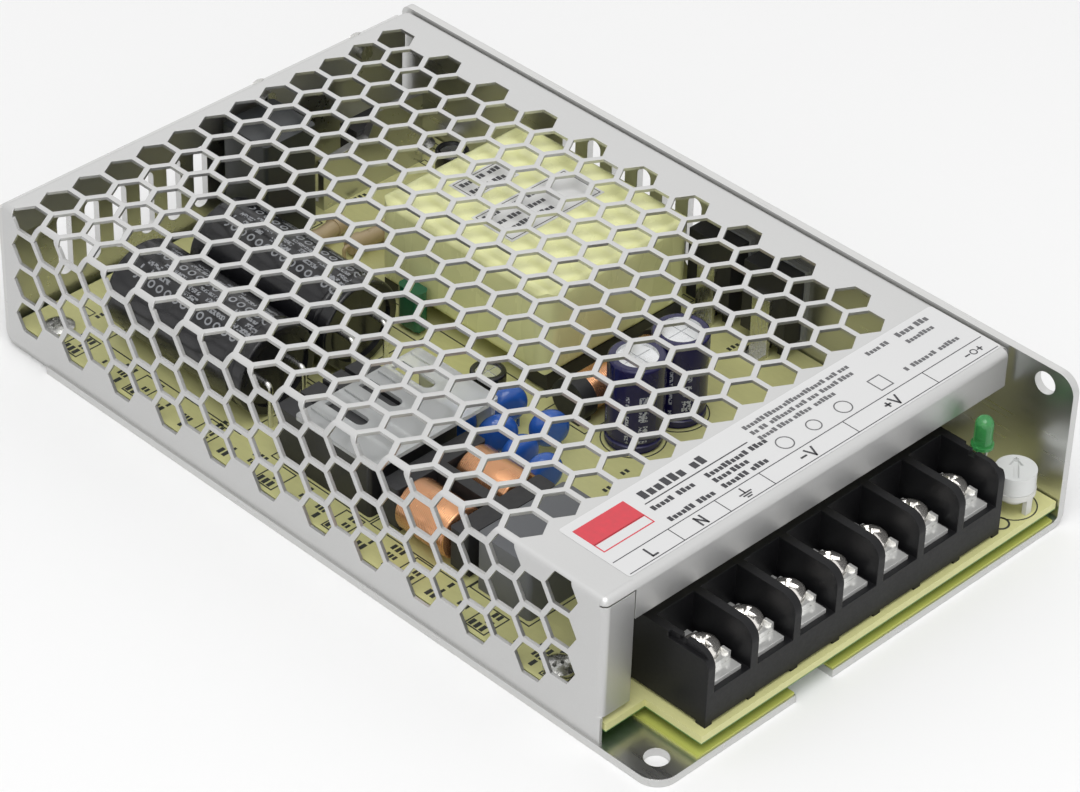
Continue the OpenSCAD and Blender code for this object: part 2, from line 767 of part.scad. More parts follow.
module lamp_legs() {
    color("silver") for (s = [-1, 1]) leg(lamp_x + s * 1.27, lamp_y, 0.5, lamp_leg_h);
}

// ---------------------------------------------------------------- capacitors

// Reservoir capacitor lying along Y, its rubber end at the front
module bulk_capacitor(i) {
    groove = 0.7;
    color([0.12, 0.12, 0.14]) translate([bulk_axis(i), bulk_back, bulk_z]) rotate([90, 0, 0])
        rotate_extrude() difference() {
            union() {
                translate([0, 0.5]) square([bulk_d / 2, bulk_l - 1]);
                square([bulk_d / 2 - 0.5, bulk_l]);
                for (z = [0.5, bulk_l - 0.5]) translate([bulk_d / 2 - 0.5, z]) circle(0.5);
            }
            translate([bulk_d / 2 + 0.25, bulk_l - 3]) circle(groove);
            translate([0, bulk_l - 0.6]) square([bulk_d * 0.4, 1]);
            translate([0, -eps]) square([bulk_d * 0.4, 0.4]);
        }
}

module bulk_capacitor_leads() {
    recess = 0.6;
    color("silver") for (i = [0, 1], s = [-1, 1])
        translate([bulk_axis(i) + s * 3.75, bulk_back - bulk_l + recess, bulk_z]) rotate(-90)
            bent_lead(1, 2.2 + recess, bulk_z - board_z, 1);
}

module output_capacitor(i) {
    color("midnightblue") translate([output_x + i * (output_d + 0.5), output_y, board_z])
        can(output_d, output_h);
}

module aux_capacitor() {
    color([0.12, 0.12, 0.13])
        translate([transformer_x + transformer_w - 5.5, transformer_back + 12.5, board_z]) can(6.3, 11);
}

module bypass_capacitor() {
    color([0.12, 0.12, 0.13]) translate([filter_x + 36.5, filter_y + 31.6, board_z]) can(6.3, 7.5);
}

// Coated disc standing on two legs; it faces along X, or along Y when turned
module disc_capacitor(x, y, turn) {
    lift = 1.6;
    translate([x, y, 0]) rotate(turn) {
        translate([0, 0, board_z + lift + disc_d / 2]) rotate([0, 90, 0]) rotate_extrude() difference() {
            union() {
                translate([0, -disc_t / 2]) square([disc_d / 2 - disc_t / 2, disc_t]);
                translate([disc_d / 2 - disc_t / 2, 0]) circle(d = disc_t);
            }
            translate([-disc_d, -disc_d]) square([disc_d, 2 * disc_d]);
        }
        for (s = [-1, 1]) translate([0, s * disc_d * 0.28, board_z])
            cylinder(d = 0.6, h = lift + disc_t / 2, $fn = 24);
    }
}

disc_places = [[25.2, 27.2, 20], [34.4, 24.6, 70], [27.6, 20, 60], [26.4, 13.6, 80], [25.8, 7.4, 75],
    [34.8, 15.2, 60]];

module disc_capacitors() {
    color([0.13, 0.35, 0.75]) for (p = disc_places) disc_capacitor(filter_x + p[0], filter_y + p[1], p[2]);
}

module line_capacitor() {
    color([0.42, 0.42, 0.45]) translate([filter_x + 1.5, filter_y - 2 - line_capacitor_d, board_z])
        soft_box(line_capacitor_w, line_capacitor_d, line_capacitor_h, 0.8);
}

module green_capacitor() {
    color([0.05, 0.35, 0.22]) {
        translate([transformer_x - 4.2, transformer_y + 27, board_z + 1]) soft_box(3, 5.5, 8, 1.2);
        for (s = [0, 1]) leg(transformer_x - 2.7, transformer_y + 28.2 + s * 3, 0.6, 1.1);
    }
}

// ---------------------------------------------------------------- transformer and chokes

// Ferrite core and winding under yellow tape
module transformer_winding() {
    color([0.85, 0.87, 0.45]) translate([transformer_x, transformer_y, tape_z]) intersection() {
        soft_box(transformer_w, transformer_l, transformer_h, tape_r);
        xz(0, transformer_l) round_rect(transformer_w, transformer_h, tape_r / 2);
        yz(0, transformer_w) round_rect(transformer_l, transformer_h, tape_r / 2);
    }
}

module transformer_bobbin() {
    pins = 6;
    rail = 5;
    color([0.14, 0.14, 0.14]) {
        for (y = [transformer_y + 0.6, transformer_back - rail - 0.6])
            translate([transformer_x + 1.2, y, board_z + 0.5])
                cube([transformer_w - 2.4, rail, bobbin_h - 0.5]);
        translate([transformer_x + 6, transformer_y + 4, board_z + 1.2])
            cube([transformer_w - 12, transformer_l - 8, bobbin_h - 1.2]);
        for (i = [0:pins - 1], y = [transformer_y + 2.4, transformer_back - 2.4])
            translate([transformer_x + 4 + i * (transformer_w - 8) / (pins - 1), y, board_z])
                cylinder(d = 1.2, h = 1, $fn = 24);
    }
}

// Square ferrite frame lying flat, with a winding on each long leg
module filter_choke_core() {
    core_h = 7.6;
    leg_w = 4.6;
    span = winding_spacing + leg_w;
    z0 = board_z + (winding_d - core_h) / 2 + 0.6;
    x0 = filter_x + winding_d / 2 - leg_w / 2;
    color([0.2, 0.2, 0.21]) {
        for (y = [filter_y, filter_y + yoke_d + winding_l])
            translate([x0 - 1.2, y, z0]) soft_box(span + 2.4, yoke_d, core_h, 0.6);
        for (i = [0, 1])
            translate([filter_x + winding_d / 2 + i * winding_spacing, filter_y + yoke_d, z0 + core_h / 2])
                rotate([-90, 0, 0]) cylinder(d = leg_w, h = winding_l);
        // spacer between the windings and feet under the yokes
        translate([x0 + leg_w / 2 + winding_d / 2 + 0.7, filter_y + yoke_d - eps, z0])
            cube([winding_spacing - winding_d - 1.4, winding_l + 2 * eps, core_h]);
        for (x = [x0, x0 + span - 3], y = [filter_y + 0.5, filter_y + yoke_d + winding_l + 0.5])
            translate([x, y, board_z]) cube([3, 3, z0 - board_z + eps]);
    }
}

module filter_choke_windings() {
    turns = floor((winding_l - 0.6) / wire_d);
    start_y = filter_y + yoke_d + (winding_l - turns * wire_d) / 2;
    axis_z = board_z + winding_d / 2 + 0.6;
    color([0.85, 0.55, 0.38]) for (i = [0, 1])
        translate([filter_x + winding_d / 2 + i * winding_spacing, start_y, axis_z])
            rotate([-90, 0, 0]) difference() {
                coil(winding_d, turns * wire_d + eps, wire_d);
                translate([0, 0, -1]) cylinder(d = 4.6 + 2 * run_fit, h = winding_l + 2);
            }
}

module mains_choke() {
    groove_w = 0.8;
    color([0.13, 0.13, 0.14]) translate([filter_x + 0.9, mains_choke_y, board_z]) difference() {
        soft_box(mains_choke_w, mains_choke_l, mains_choke_h, 0.8);
        for (i = [1:3]) translate([(i * mains_choke_w - 2 * groove_w) / 4, -1, mains_choke_h - groove_w])
            cube([groove_w, mains_choke_l + 2, groove_w + 1]);
    }
}

// Clear plastic bridge with three long windows, over the mains choke
module mains_choke_cover() {
    window_w = 2.6;
    window_l = 8.6;
    window_pitch = 7.5;
    rib = 0.6;
    middle = bridge_w / 2 + 0.5;
    color([0.9, 0.92, 0.92, 0.6]) translate([filter_x + 0.6, mains_choke_y - 1.6, board_z]) {
        translate([0, 0, mains_choke_h]) linear_extrude(bridge_t) difference() {
            round_rect(bridge_w, bridge_l, 0.8);
            for (i = [-1:1]) translate([middle + i * window_pitch, bridge_l - 1.2]) {
                translate([-window_w / 2, window_w / 2 - window_l])
                    square([window_w, window_l - window_w / 2]);
                translate([0, window_w / 2 - window_l]) circle(d = window_w);
            }
        }
        // ribs beside the windows and the long foot on the right
        for (i = [-1.5:1.5])
            translate([middle + i * window_pitch - rib / 2, bridge_l - 9.8, mains_choke_h + bridge_t - eps])
                cube([rib, 9, 0.5]);
        translate([bridge_w - bridge_t, 1, 0]) cube([bridge_t, bridge_l - 2, mains_choke_h + eps]);
    }
}

// Drum core lying along X, with square feet under its flanges
drum_l = 24;
drum_d = 8;
drum_flange = 3;
drum_neck = 4.6;

module at_drum() {
    translate([transformer_x - 1.5, choke_y, board_z + drum_d / 2]) rotate([0, 90, 0]) children();
}

module output_choke_core() {
    color([0.13, 0.13, 0.14]) at_drum() {
        cylinder(d = drum_neck, h = drum_l);
        for (z = [0, drum_l - drum_flange]) translate([0, 0, z]) {
            cylinder(d = drum_d, h = drum_flange);
            translate([0, -2.5, 0]) cube([drum_d / 2, 5, drum_flange]);
        }
    }
}

module output_choke_winding() {
    length = drum_l - 2 * drum_flange - 2 * slack;
    turns = floor(length / wire_d);
    color([0.8, 0.48, 0.3]) at_drum() translate([0, 0, (drum_l - turns * wire_d) / 2]) difference() {
        coil(drum_d - 1, length, wire_d);
        translate([0, 0, -1]) cylinder(d = drum_neck + 2 * run_fit, h = length + 2);
    }
}

// ---------------------------------------------------------------- small parts and heat sinks

module resistor(x, y, turn) {
    length = 9;
    d = 3.6;
    lift = 0.6;
    translate([x, y, board_z + d / 2 + lift]) rotate(turn) {
        rotate([0, 90, 0]) translate([0, 0, -length / 2]) {
            cylinder(d = d * 0.86, h = length);
            for (z = [0, length - 2.4]) translate([0, 0, z]) cylinder(d = d, h = 2.4);
        }
        for (a = [0, 180]) rotate(a) translate([length / 2 - eps, 0, 0])
            bent_lead(0.7, 1.2, d / 2 + lift, 0.7);
    }
}

module resistors() {
    color("tan") {
        resistor(transformer_x + 3.6, transformer_back + 17.5, 8);
        resistor(transformer_x + 8.5, transformer_back + 11.2, -6);
    }
}

// Upright aluminium plate with a sloping top edge and two feet, beside the rear board screw
sink_x = transformer_x + 10.5;
sink_y = transformer_back + 25.6;
sink_w = pillar_x[1] - board_screw_head / 2 - seam - sink_x;
leg_pitch = 2.7;                   // pitch of a power package's legs
leg_clear = 3;                     // height of its body above the board

module rear_heat_sink() {
    foot = 4;
    color("silver") translate([sink_x, sink_y, board_z]) {
        xz(0, sink_t) polygon([[0, 0], [sink_w, 0], [sink_w, 14.5], [sink_w * 0.55, 15.5],
            [sink_w * 0.45, 11], [0, 10]]);
        for (x = [0, sink_w - foot]) translate([x, 0, 0]) cube([foot, foot, 1.2]);
    }
}

module rear_transistor() {
    left = sink_x + sink_w - package_w - 5;
    color([0.13, 0.13, 0.13]) translate([left, sink_y + sink_t, board_z + leg_clear]) {
        cube([package_w, package_t, 9]);
        for (i = [-1:1]) translate([package_w / 2 + i * leg_pitch - 0.4, 1.8, -leg_clear])
            cube([0.8, 0.6, leg_clear + eps]);
    }
}

module inrush_relay() {
    color([0.17, 0.18, 0.19]) translate([transformer_x - 5, board_b - 1.1 - relay_d, board_z])
        soft_box(relay_w, relay_d, under_z - relay_top_gap - board_z, 0.8);
}

rectifier_y = [transformer_y - 21, transformer_y - 8];
pad_t = 0.4;
pad_x = wall_in - cover_t - pad_t;
pad_z = board_z + leg_clear - 0.5;
pad_h = top_z - right_flange_h - pad_gap - pad_z;

// Power packages pressed to the right wall
module wall_rectifiers() {
    color([0.14, 0.14, 0.15]) for (y = rectifier_y) translate([pad_x - package_t, y, board_z + leg_clear]) {
        cube([package_t, package_w, pad_h - 1]);
        for (i = [-1:1]) translate([1.8, package_w / 2 + i * leg_pitch - 0.4, -leg_clear])
            cube([0.6, 0.8, leg_clear + eps]);
    }
}

module wall_pads() {
    color("lightgrey") for (y = rectifier_y) translate([pad_x, y - 0.5, pad_z])
        cube([cover_t + pad_t, package_w + 1, pad_h]);
}

// Spring clips that press the packages to the wall
module wall_clips() {
    clip_t = 0.8;
    clip_w = 4;
    color("silver") for (y = rectifier_y)
        translate([pad_x - package_t - clip_t, y + (package_w - clip_w) / 2, board_z]) {
            cube([clip_t, clip_w, pad_h - 3]);
            translate([-3, 0, 0]) cube([3 + eps, clip_w, clip_t]);
        }
}

// ---------------------------------------------------------------- drawing

chassis();
mesh_cover();
cover_screws();
insulation_sheet();
circuit_board();
board_pillars();
board_screws();
terminal_block();
contact_plates();
for (i = [0:terminals - 1]) {
    clamp_plate(i);
    terminal_screw(i);
}
trimmer_base();
trimmer_knob();
lamp_lens();
lamp_legs();
bulk_capacitor(0);  // bulk_capacitor_left
bulk_capacitor(1);  // bulk_capacitor_right
bulk_capacitor_leads();
output_capacitor(0);  // output_capacitor_left
output_capacitor(1);  // output_capacitor_right
aux_capacitor();
bypass_capacitor();
disc_capacitors();
line_capacitor();
green_capacitor();
transformer_winding();
transformer_bobbin();
filter_choke_core();
filter_choke_windings();
mains_choke();
mains_choke_cover();
output_choke_core();
output_choke_winding();
resistors();
rear_heat_sink();
rear_transistor();
inrush_relay();
wall_rectifiers();
wall_pads();
wall_clips();
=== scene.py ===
"""Finishes, prints and small parts of the mesh case power supply, and its stage."""

import math
import random

import bmesh
import bpy
from mathutils import Matrix, Vector


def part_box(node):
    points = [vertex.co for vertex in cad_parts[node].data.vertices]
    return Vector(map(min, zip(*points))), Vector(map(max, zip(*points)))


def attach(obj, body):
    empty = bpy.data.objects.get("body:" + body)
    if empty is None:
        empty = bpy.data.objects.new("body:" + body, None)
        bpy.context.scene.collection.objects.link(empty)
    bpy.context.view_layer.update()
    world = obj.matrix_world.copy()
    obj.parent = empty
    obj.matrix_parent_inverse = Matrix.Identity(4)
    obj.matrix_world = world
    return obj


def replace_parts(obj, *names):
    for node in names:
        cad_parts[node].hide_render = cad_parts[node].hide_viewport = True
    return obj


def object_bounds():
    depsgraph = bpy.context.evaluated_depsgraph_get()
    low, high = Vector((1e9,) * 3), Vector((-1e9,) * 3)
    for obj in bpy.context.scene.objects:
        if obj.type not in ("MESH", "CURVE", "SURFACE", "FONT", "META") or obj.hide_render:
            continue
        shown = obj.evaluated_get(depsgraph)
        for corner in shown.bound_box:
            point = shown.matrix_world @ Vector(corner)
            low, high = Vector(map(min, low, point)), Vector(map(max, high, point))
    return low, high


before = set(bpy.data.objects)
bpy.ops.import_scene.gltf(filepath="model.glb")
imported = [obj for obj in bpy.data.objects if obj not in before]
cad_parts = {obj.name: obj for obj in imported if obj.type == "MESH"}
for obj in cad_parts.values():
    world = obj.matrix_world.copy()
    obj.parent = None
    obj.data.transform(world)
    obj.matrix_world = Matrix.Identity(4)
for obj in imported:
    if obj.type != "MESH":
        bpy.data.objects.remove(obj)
CAD_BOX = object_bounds()

bl_info = {
    "name": "Mesh Case Power Supply",
    "version": (1, 0, 0),
    "blender": (4, 5, 0),
    "location": "View3D > Sidebar > Power Supply",
    "description": "Finishes, prints and small parts of a mesh case power supply",
    "category": "Add Mesh",
}

MM = 0.001
CASE = "case"                # the body that all fixed pieces ride on
FILM = 0.06 * MM             # thickness of a printed or stuck film
TERMINALS = 7
BARRIER = 1.6 * MM           # thickness of the terminal block's barriers
CLAMP = 1.0 * MM             # thickness of a clamp plate, on which the screw's head rests
BEND, SHEET = 1.2 * MM, 0.6 * MM    # outer radius and thickness of the cover's folds
FLANGE = 5.6 * MM            # plain stretch of the front fold above the side flange


# ------------------------------------------------------------------ sizes and colours


class SupplySizes(bpy.types.PropertyGroup):
    """Sizes that a user would change."""

    print_line: bpy.props.FloatProperty(
        name="Print line", description="Width of a printed line", default=0.22 * MM,
        min=0.1 * MM, max=1 * MM, subtype="DISTANCE", unit="LENGTH", precision=5)
    barrier_drop: bpy.props.FloatProperty(
        name="Barrier drop", description="How far the block's barriers end below their highest place",
        default=1.9 * MM, min=0, max=2.5 * MM, subtype="DISTANCE", unit="LENGTH", precision=5)
    head_share: bpy.props.FloatProperty(
        name="Screw head", description="Width of a terminal screw's head as a share of its widest",
        default=0.86, min=0.8, max=1, subtype="FACTOR")
    plate_share: bpy.props.FloatProperty(
        name="Terminal plate", description="Width of a terminal's plates as a share of their widest",
        default=0.76, min=0.7, max=1, subtype="FACTOR")
    edge_softness: bpy.props.FloatProperty(
        name="Edge softness", description="Radius at which sheared edges catch the light",
        default=0.12 * MM, min=0, max=0.5 * MM, subtype="DISTANCE", unit="LENGTH", precision=5)
    key_power: bpy.props.FloatProperty(
        name="Key light", description="Power of the large soft light", default=6.4, min=0, max=50,
        subtype="POWER", unit="POWER")


def colour_property(name, default, description):
    """A colour setting in linear light."""
    return bpy.props.FloatVectorProperty(
        name=name, description=description, default=default, size=3, min=0, max=1, subtype="COLOR")


class SupplyColours(bpy.types.PropertyGroup):
    """Colours that a user would change."""

    sheet: colour_property("Chassis sheet", (0.60, 0.60, 0.59), "Mill finish aluminium")
    cover: colour_property("Cover sheet", (0.58, 0.58, 0.575), "Zinc plated steel")
    board: colour_property("Board", (0.66, 0.65, 0.30), "Top of the laminate")
    board_under: colour_property("Board underside", (0.10, 0.24, 0.06), "Solder mask")
    film: colour_property("Insulating film", (0.50, 0.53, 0.12), "Thin film under the board")
    block: colour_property("Terminal block", (0.008, 0.008, 0.009), "Glass filled plastic")
    tape: colour_property("Transformer tape", (0.86, 0.87, 0.44), "Polyester tape")
    copper: colour_property("Winding", (0.76, 0.38, 0.19), "Enamelled copper")
    label: colour_property("Label", (0.69, 0.69, 0.69), "Printed film")
    accent: colour_property("Label field", (0.62, 0.05, 0.07), "Plain coloured field on the label")
    disc: colour_property("Disc capacitors", (0.025, 0.12, 0.50), "Epoxy coating")
    sleeve: colour_property("Output sleeves", (0.010, 0.008, 0.075), "Printed sleeve")


def sizes():
    return bpy.context.scene.supply_sizes


def colours():
    return bpy.context.scene.supply_colours


# ------------------------------------------------------------------ finishes


class Finish:
    """A material under construction, with short calls for the nodes that the finishes share."""

    def __init__(self, name, colour, roughness, metallic=0.0, **sockets):
        self.material = bpy.data.materials.new(name)
        self.material.use_nodes = True
        self.tree = self.material.node_tree
        self.shader = self.tree.nodes["Principled BSDF"]
        self.set("Base Color", (*colour, 1.0))
        self.set("Roughness", roughness)
        self.set("Metallic", metallic)
        for socket, value in sockets.items():
            self.set(socket.replace("_", " ").title().replace("Ior", "IOR"), value)
        self.normal = None

    def set(self, socket, value):
        self.shader.inputs[socket].default_value = value

    def node(self, kind, **settings):
        made = self.tree.nodes.new(kind)
        for key, value in settings.items():
            setattr(made, key, value)
        return made

    def link(self, source, target):
        self.tree.links.new(source, target)

    def place(self, scale=(1, 1, 1), at=(0, 0, 0), turn=(0, 0, 0)):
        """Object coordinates, moved to a place, turned, then scaled."""
        coordinates = self.node("ShaderNodeTexCoord")
        mapping = self.node("ShaderNodeMapping", vector_type="TEXTURE")
        mapping.inputs["Location"].default_value = at
        mapping.inputs["Rotation"].default_value = turn
        mapping.inputs["Scale"].default_value = tuple(1 / s for s in scale)
        self.link(coordinates.outputs["Object"], mapping.inputs["Vector"])
        return mapping.outputs["Vector"]

    def math(self, operation, a, b=0.0, clamp=False):
        """One step of arithmetic on sockets or numbers."""
        made = self.node("ShaderNodeMath", operation=operation, use_clamp=clamp)
        for index, value in enumerate((a, b)):
            if isinstance(value, (int, float)):
                made.inputs[index].default_value = value
            else:
                self.link(value, made.inputs[index])
        return made.outputs[0]

    def axis(self, letter, at=0.0):
        """One Object coordinate, measured from a place on it."""
        coordinates = self.node("ShaderNodeTexCoord")
        split = self.node("ShaderNodeSeparateXYZ")
        self.link(coordinates.outputs["Object"], split.inputs[0])
        return self.math("SUBTRACT", split.outputs[letter], at)

    def noise(self, scale, detail=3.0, stretch=(1, 1, 1), roughness=0.5):
        made = self.node("ShaderNodeTexNoise")
        made.inputs["Scale"].default_value = scale
        made.inputs["Detail"].default_value = detail
        made.inputs["Roughness"].default_value = roughness
        self.link(self.place(stretch), made.inputs["Vector"])
        return made.outputs["Fac"]

    def spread(self, value, low, high, start=0.3, end=0.7):
        """Maps a pattern's middle range to low..high."""
        made = self.node("ShaderNodeMapRange")
        for name, number in (("From Min", start), ("From Max", end), ("To Min", low), ("To Max", high)):
            made.inputs[name].default_value = number
        self.link(value, made.inputs["Value"])
        return made.outputs["Result"]

    def mix(self, mask, first, second):
        """Mixes two colours, each a tuple or a socket."""
        made = self.node("ShaderNodeMix", data_type="RGBA")
        self.link(mask, made.inputs["Factor"])
        for name, value in (("A", first), ("B", second)):
            socket = next(s for s in made.inputs if s.name == name and s.type == "RGBA")
            if isinstance(value, tuple):
                socket.default_value = (*value[:3], 1.0)
            else:
                self.link(value, socket)
        return next(s for s in made.outputs if s.type == "RGBA")

    def mottle(self, mask, colour, share):
        """Colour that varies by a share either way with a pattern."""
        dark = tuple(c * (1 - share) for c in colour)
        light = tuple(min(1.0, c * (1 + share)) for c in colour)
        return self.mix(mask, dark, light)

    def paint(self, colour):
        self.link(colour, self.shader.inputs["Base Color"])

    def roughen(self, value):
        self.link(value, self.shader.inputs["Roughness"])

    def bump(self, height, distance, strength=1.0):
        """Adds relief of the given depth, in metres."""
        made = self.node("ShaderNodeBump")
        made.inputs["Distance"].default_value = distance
        made.inputs["Strength"].default_value = strength
        self.link(height, made.inputs["Height"])
        if self.normal is not None:
            self.link(self.normal, made.inputs["Normal"])
        self.normal = made.outputs["Normal"]

    def soft_edges(self, radius):
        made = self.node("ShaderNodeBevel", samples=4)
        made.inputs["Radius"].default_value = radius
        self.normal = made.outputs["Normal"]

    def done(self):
        if self.normal is not None:
            self.link(self.normal, self.shader.inputs["Normal"])
        return self.material


def rolled_sheet():
    """Mill finish aluminium: bright, with faint rolling lines along the case."""
    f = Finish("rolled_sheet", colours().sheet, 0.3, 1.0)
    f.soft_edges(sizes().edge_softness)
    lines = f.noise(900, 4, (1, 0.02, 1))
    cloud = f.noise(60, 3)
    f.paint(f.mottle(cloud, tuple(colours().sheet), 0.04))
    f.roughen(f.spread(f.math("MULTIPLY", f.math("ADD", lines, cloud), 0.5), 0.24, 0.36))
    f.bump(lines, 0.004 * MM, 0.35)
    return f.done()


def plated_cover():
    """Zinc plated steel: pale, finely grained and softly bright."""
    f = Finish("plated_cover", colours().cover, 0.44, 1.0)
    f.soft_edges(sizes().edge_softness)
    grain = f.noise(2600, 5)
    cloud = f.noise(45, 4)
    f.paint(f.mottle(cloud, tuple(colours().cover), 0.035))
    f.roughen(f.spread(f.math("MULTIPLY", f.math("ADD", grain, cloud), 0.5), 0.39, 0.50))
    f.bump(grain, 0.008 * MM, 0.4)
    return f.done()


def bright_steel(name, colour, low=0.16, high=0.34, metallic=1.0):
    """Plated steel of screws and stamped parts, with fine handling marks."""
    f = Finish(name, colour, low, metallic)
    f.soft_edges(0.1 * MM)
    marks = f.noise(1500, 4, (1, 1, 0.3))
    stain = f.noise(300, 3)
    f.paint(f.mottle(stain, colour, 0.05))
    f.roughen(f.spread(marks, low, high))
    f.bump(stain, 0.002 * MM, 0.3)
    return f.done()


def laminate():
    """Paper and glass laminate: straw coloured with a faint weave, green below."""
    low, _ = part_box("circuit_board")
    f = Finish("laminate", colours().board, 0.42)
    weave = f.noise(1600, 3, (1, 0.35, 1))
    cloud = f.noise(40, 3)
    top = f.mottle(f.math("MULTIPLY", f.math("ADD", weave, cloud), 0.5), tuple(colours().board), 0.12)
    under = f.mottle(cloud, tuple(colours().board_under), 0.2)
    mask = f.math("GREATER_THAN", f.axis("Z", low.z + 0.22 * MM), 0.0)
    f.paint(f.mix(mask, under, top))
    f.roughen(f.spread(cloud, 0.34, 0.5))
    f.bump(weave, 0.012 * MM, 0.5)
    return f.done()


def film_green():
    """Thin insulating film, yellow green and glossy."""
    colour = tuple(colours().film)
    f = Finish("film_green", colour, 0.3)
    wave = f.noise(25, 2)
    f.paint(f.mottle(wave, colour, 0.15))
    f.roughen(f.spread(wave, 0.24, 0.38))
    f.bump(wave, 0.2 * MM, 0.4)
    return f.done()


def moulded(name, colour, roughness=0.5, grain=0.008, share=0.12, edge=0.15, gloss=0.5):
    """Moulded plastic with a fine spark-eroded grain."""
    f = Finish(name, colour, roughness)
    f.set("Specular IOR Level", gloss)
    f.soft_edges(edge * MM)
    fine = f.noise(1800, 4)
    cloud = f.noise(90, 3)
    f.paint(f.mottle(cloud, tuple(colour), share))
    both = f.math("MULTIPLY", f.math("ADD", fine, cloud), 0.5)
    f.roughen(f.spread(both, roughness - 0.07, roughness + 0.09))
    f.bump(fine, grain * MM, 0.6)
    return f.done()


def coated(name, colour, roughness=0.16, lumps=0.05, coat=0.4):
    """Dipped epoxy coating: glossy, with soft lumps."""
    f = Finish(name, colour, roughness, coat_weight=coat, coat_roughness=0.08)
    lump = f.noise(420, 2)
    f.paint(f.mottle(lump, tuple(colour), 0.14))
    f.roughen(f.spread(lump, roughness - 0.04, roughness + 0.1))
    f.bump(lump, lumps * MM, 0.6)
    return f.done()


def printed_sleeve(name, node, colour, ink, axis, bands, gloss=0.22):
    """Shrink sleeve with rows of plain print round the can.

    bands lists rows as (middle angle in degrees, half height, pitch, bare share) in millimetres;
    a row with no bare share is a row of rings."""
    low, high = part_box(node)
    middle, size = (low + high) / 2, high - low
    f = Finish(name, colour, gloss, coat_weight=0.15, coat_roughness=0.1)
    first, second = ("X", "Z") if axis == "Y" else ("X", "Y")
    across = f.axis(first, getattr(middle, first.lower()))
    up = f.axis(second, getattr(middle, second.lower()))
    angle = f.math("ARCTAN2", across, up)
    along = f.axis(axis, getattr(low, axis.lower()))
    ends = f.math("MULTIPLY", f.math("GREATER_THAN", along, 2.2 * MM),
                  f.math("LESS_THAN", along, getattr(size, axis.lower()) - 4.5 * MM))
    signs = f.math("GREATER_THAN", f.noise(2600, 1), 0.47)
    total = None
    for centre, half, pitch, blank in bands:
        turned = f.math("SUBTRACT", angle, math.radians(centre))
        near = f.math("MULTIPLY", f.math("ABSOLUTE", turned), size.x / 2)
        wave = f.math("FRACT", f.math("DIVIDE", along, pitch * MM))
        if blank:
            row = f.math("LESS_THAN", near, half * MM)
            row = f.math("MULTIPLY", row, f.math("GREATER_THAN", wave, blank))
            row = f.math("MULTIPLY", row, signs)
        else:
            beside = f.math("MULTIPLY", f.math("SUBTRACT", wave, 0.5), pitch * MM)
            squares = f.math("ADD", f.math("MULTIPLY", near, near), f.math("MULTIPLY", beside, beside))
            off = f.math("ABSOLUTE", f.math("SUBTRACT", f.math("SQRT", squares), half * MM))
            row = f.math("LESS_THAN", off, 0.16 * MM)
        total = row if total is None else f.math("MAXIMUM", total, row)
    total = f.math("MULTIPLY", total, ends)
    cloud = f.noise(120, 3)
    f.paint(f.mix(total, f.mottle(cloud, tuple(colour), 0.2), ink))
    f.roughen(f.spread(cloud, gloss - 0.05, gloss + 0.1))
    f.bump(cloud, 0.05 * MM, 0.3)
    return f


def can_top(f, node, radius, depth=1.0 * MM):
    """Bare aluminium inside the rolled edge of an upright can."""
    low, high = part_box(node)
    middle = (low + high) / 2
    x = f.axis("X", middle.x)
    y = f.axis("Y", middle.y)
    distance = f.math("SQRT", f.math("ADD", f.math("MULTIPLY", x, x), f.math("MULTIPLY", y, y)))
    inside = f.math("LESS_THAN", distance, radius)
    high_up = f.math("GREATER_THAN", f.axis("Z", high.z - depth), 0.0)
    mask = f.math("MULTIPLY", inside, high_up)
    painted = f.shader.inputs["Base Color"].links[0].from_socket
    f.paint(f.mix(mask, painted, (0.78, 0.79, 0.80)))
    f.link(mask, f.shader.inputs["Metallic"])
    return f.done()


def tape_wrap():
    """Glossy polyester tape in overlapping turns, with the winding faint below it."""
    colour = tuple(colours().tape)
    low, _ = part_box("transformer_winding")
    f = Finish("tape_wrap", colour, 0.25, coat_weight=0.35, coat_roughness=0.1)
    cloud = f.noise(70, 3)
    wrinkle = f.noise(220, 4, (1, 1, 0.25))
    f.paint(f.mottle(cloud, colour, 0.10))
    f.roughen(f.spread(wrinkle, 0.16, 0.36))
    f.bump(cloud, 0.6 * MM, 0.25)
    f.bump(wrinkle, 0.08 * MM, 0.4)
    lap = f.math("FRACT", f.math("DIVIDE", f.axis("Z", low.z), 5.6 * MM))
    f.bump(f.math("LESS_THAN", lap, 0.5), 0.05 * MM, 0.5)
    return f.done()


def enamel_copper(axis, pitch=0.36 * MM):
    """Enamelled copper wire wound close: warm, glossy, with a fine groove at each turn that holds painted
    shade.
    """
    colour = tuple(colours().copper)
    f = Finish(f"enamel_copper_{axis.lower()}", colour, 0.25, 0.8, coat_weight=0.4, coat_roughness=0.1)
    cloud = f.noise(260, 3)
    turn = f.math("FRACT", f.math("DIVIDE", f.axis(axis, -1.0), pitch))
    groove = f.math("MULTIPLY", f.math("ABSOLUTE", f.math("SUBTRACT", turn, 0.5)), 2.0)
    # painted shade: the copper colour is darkened to this in the groove between neighbouring turns
    dark = tuple(c * 0.55 for c in colour)
    f.paint(f.mix(f.spread(groove, 0.0, 1.0, 0.6, 1.0), f.mottle(cloud, colour, 0.12), dark))
    f.roughen(f.spread(cloud, 0.18, 0.32))
    f.bump(groove, -0.08 * MM, 0.4)
    return f.done()


def ferrite():
    """Sintered ferrite, dull and finely pitted."""
    f = Finish("ferrite", (0.022, 0.022, 0.024), 0.5)
    f.soft_edges(0.2 * MM)
    pits = f.noise(900, 4)
    f.paint(f.mottle(pits, (0.022, 0.022, 0.024), 0.25))
    f.roughen(f.spread(pits, 0.42, 0.6))
    f.bump(pits, 0.03 * MM, 0.5)
    return f.done()


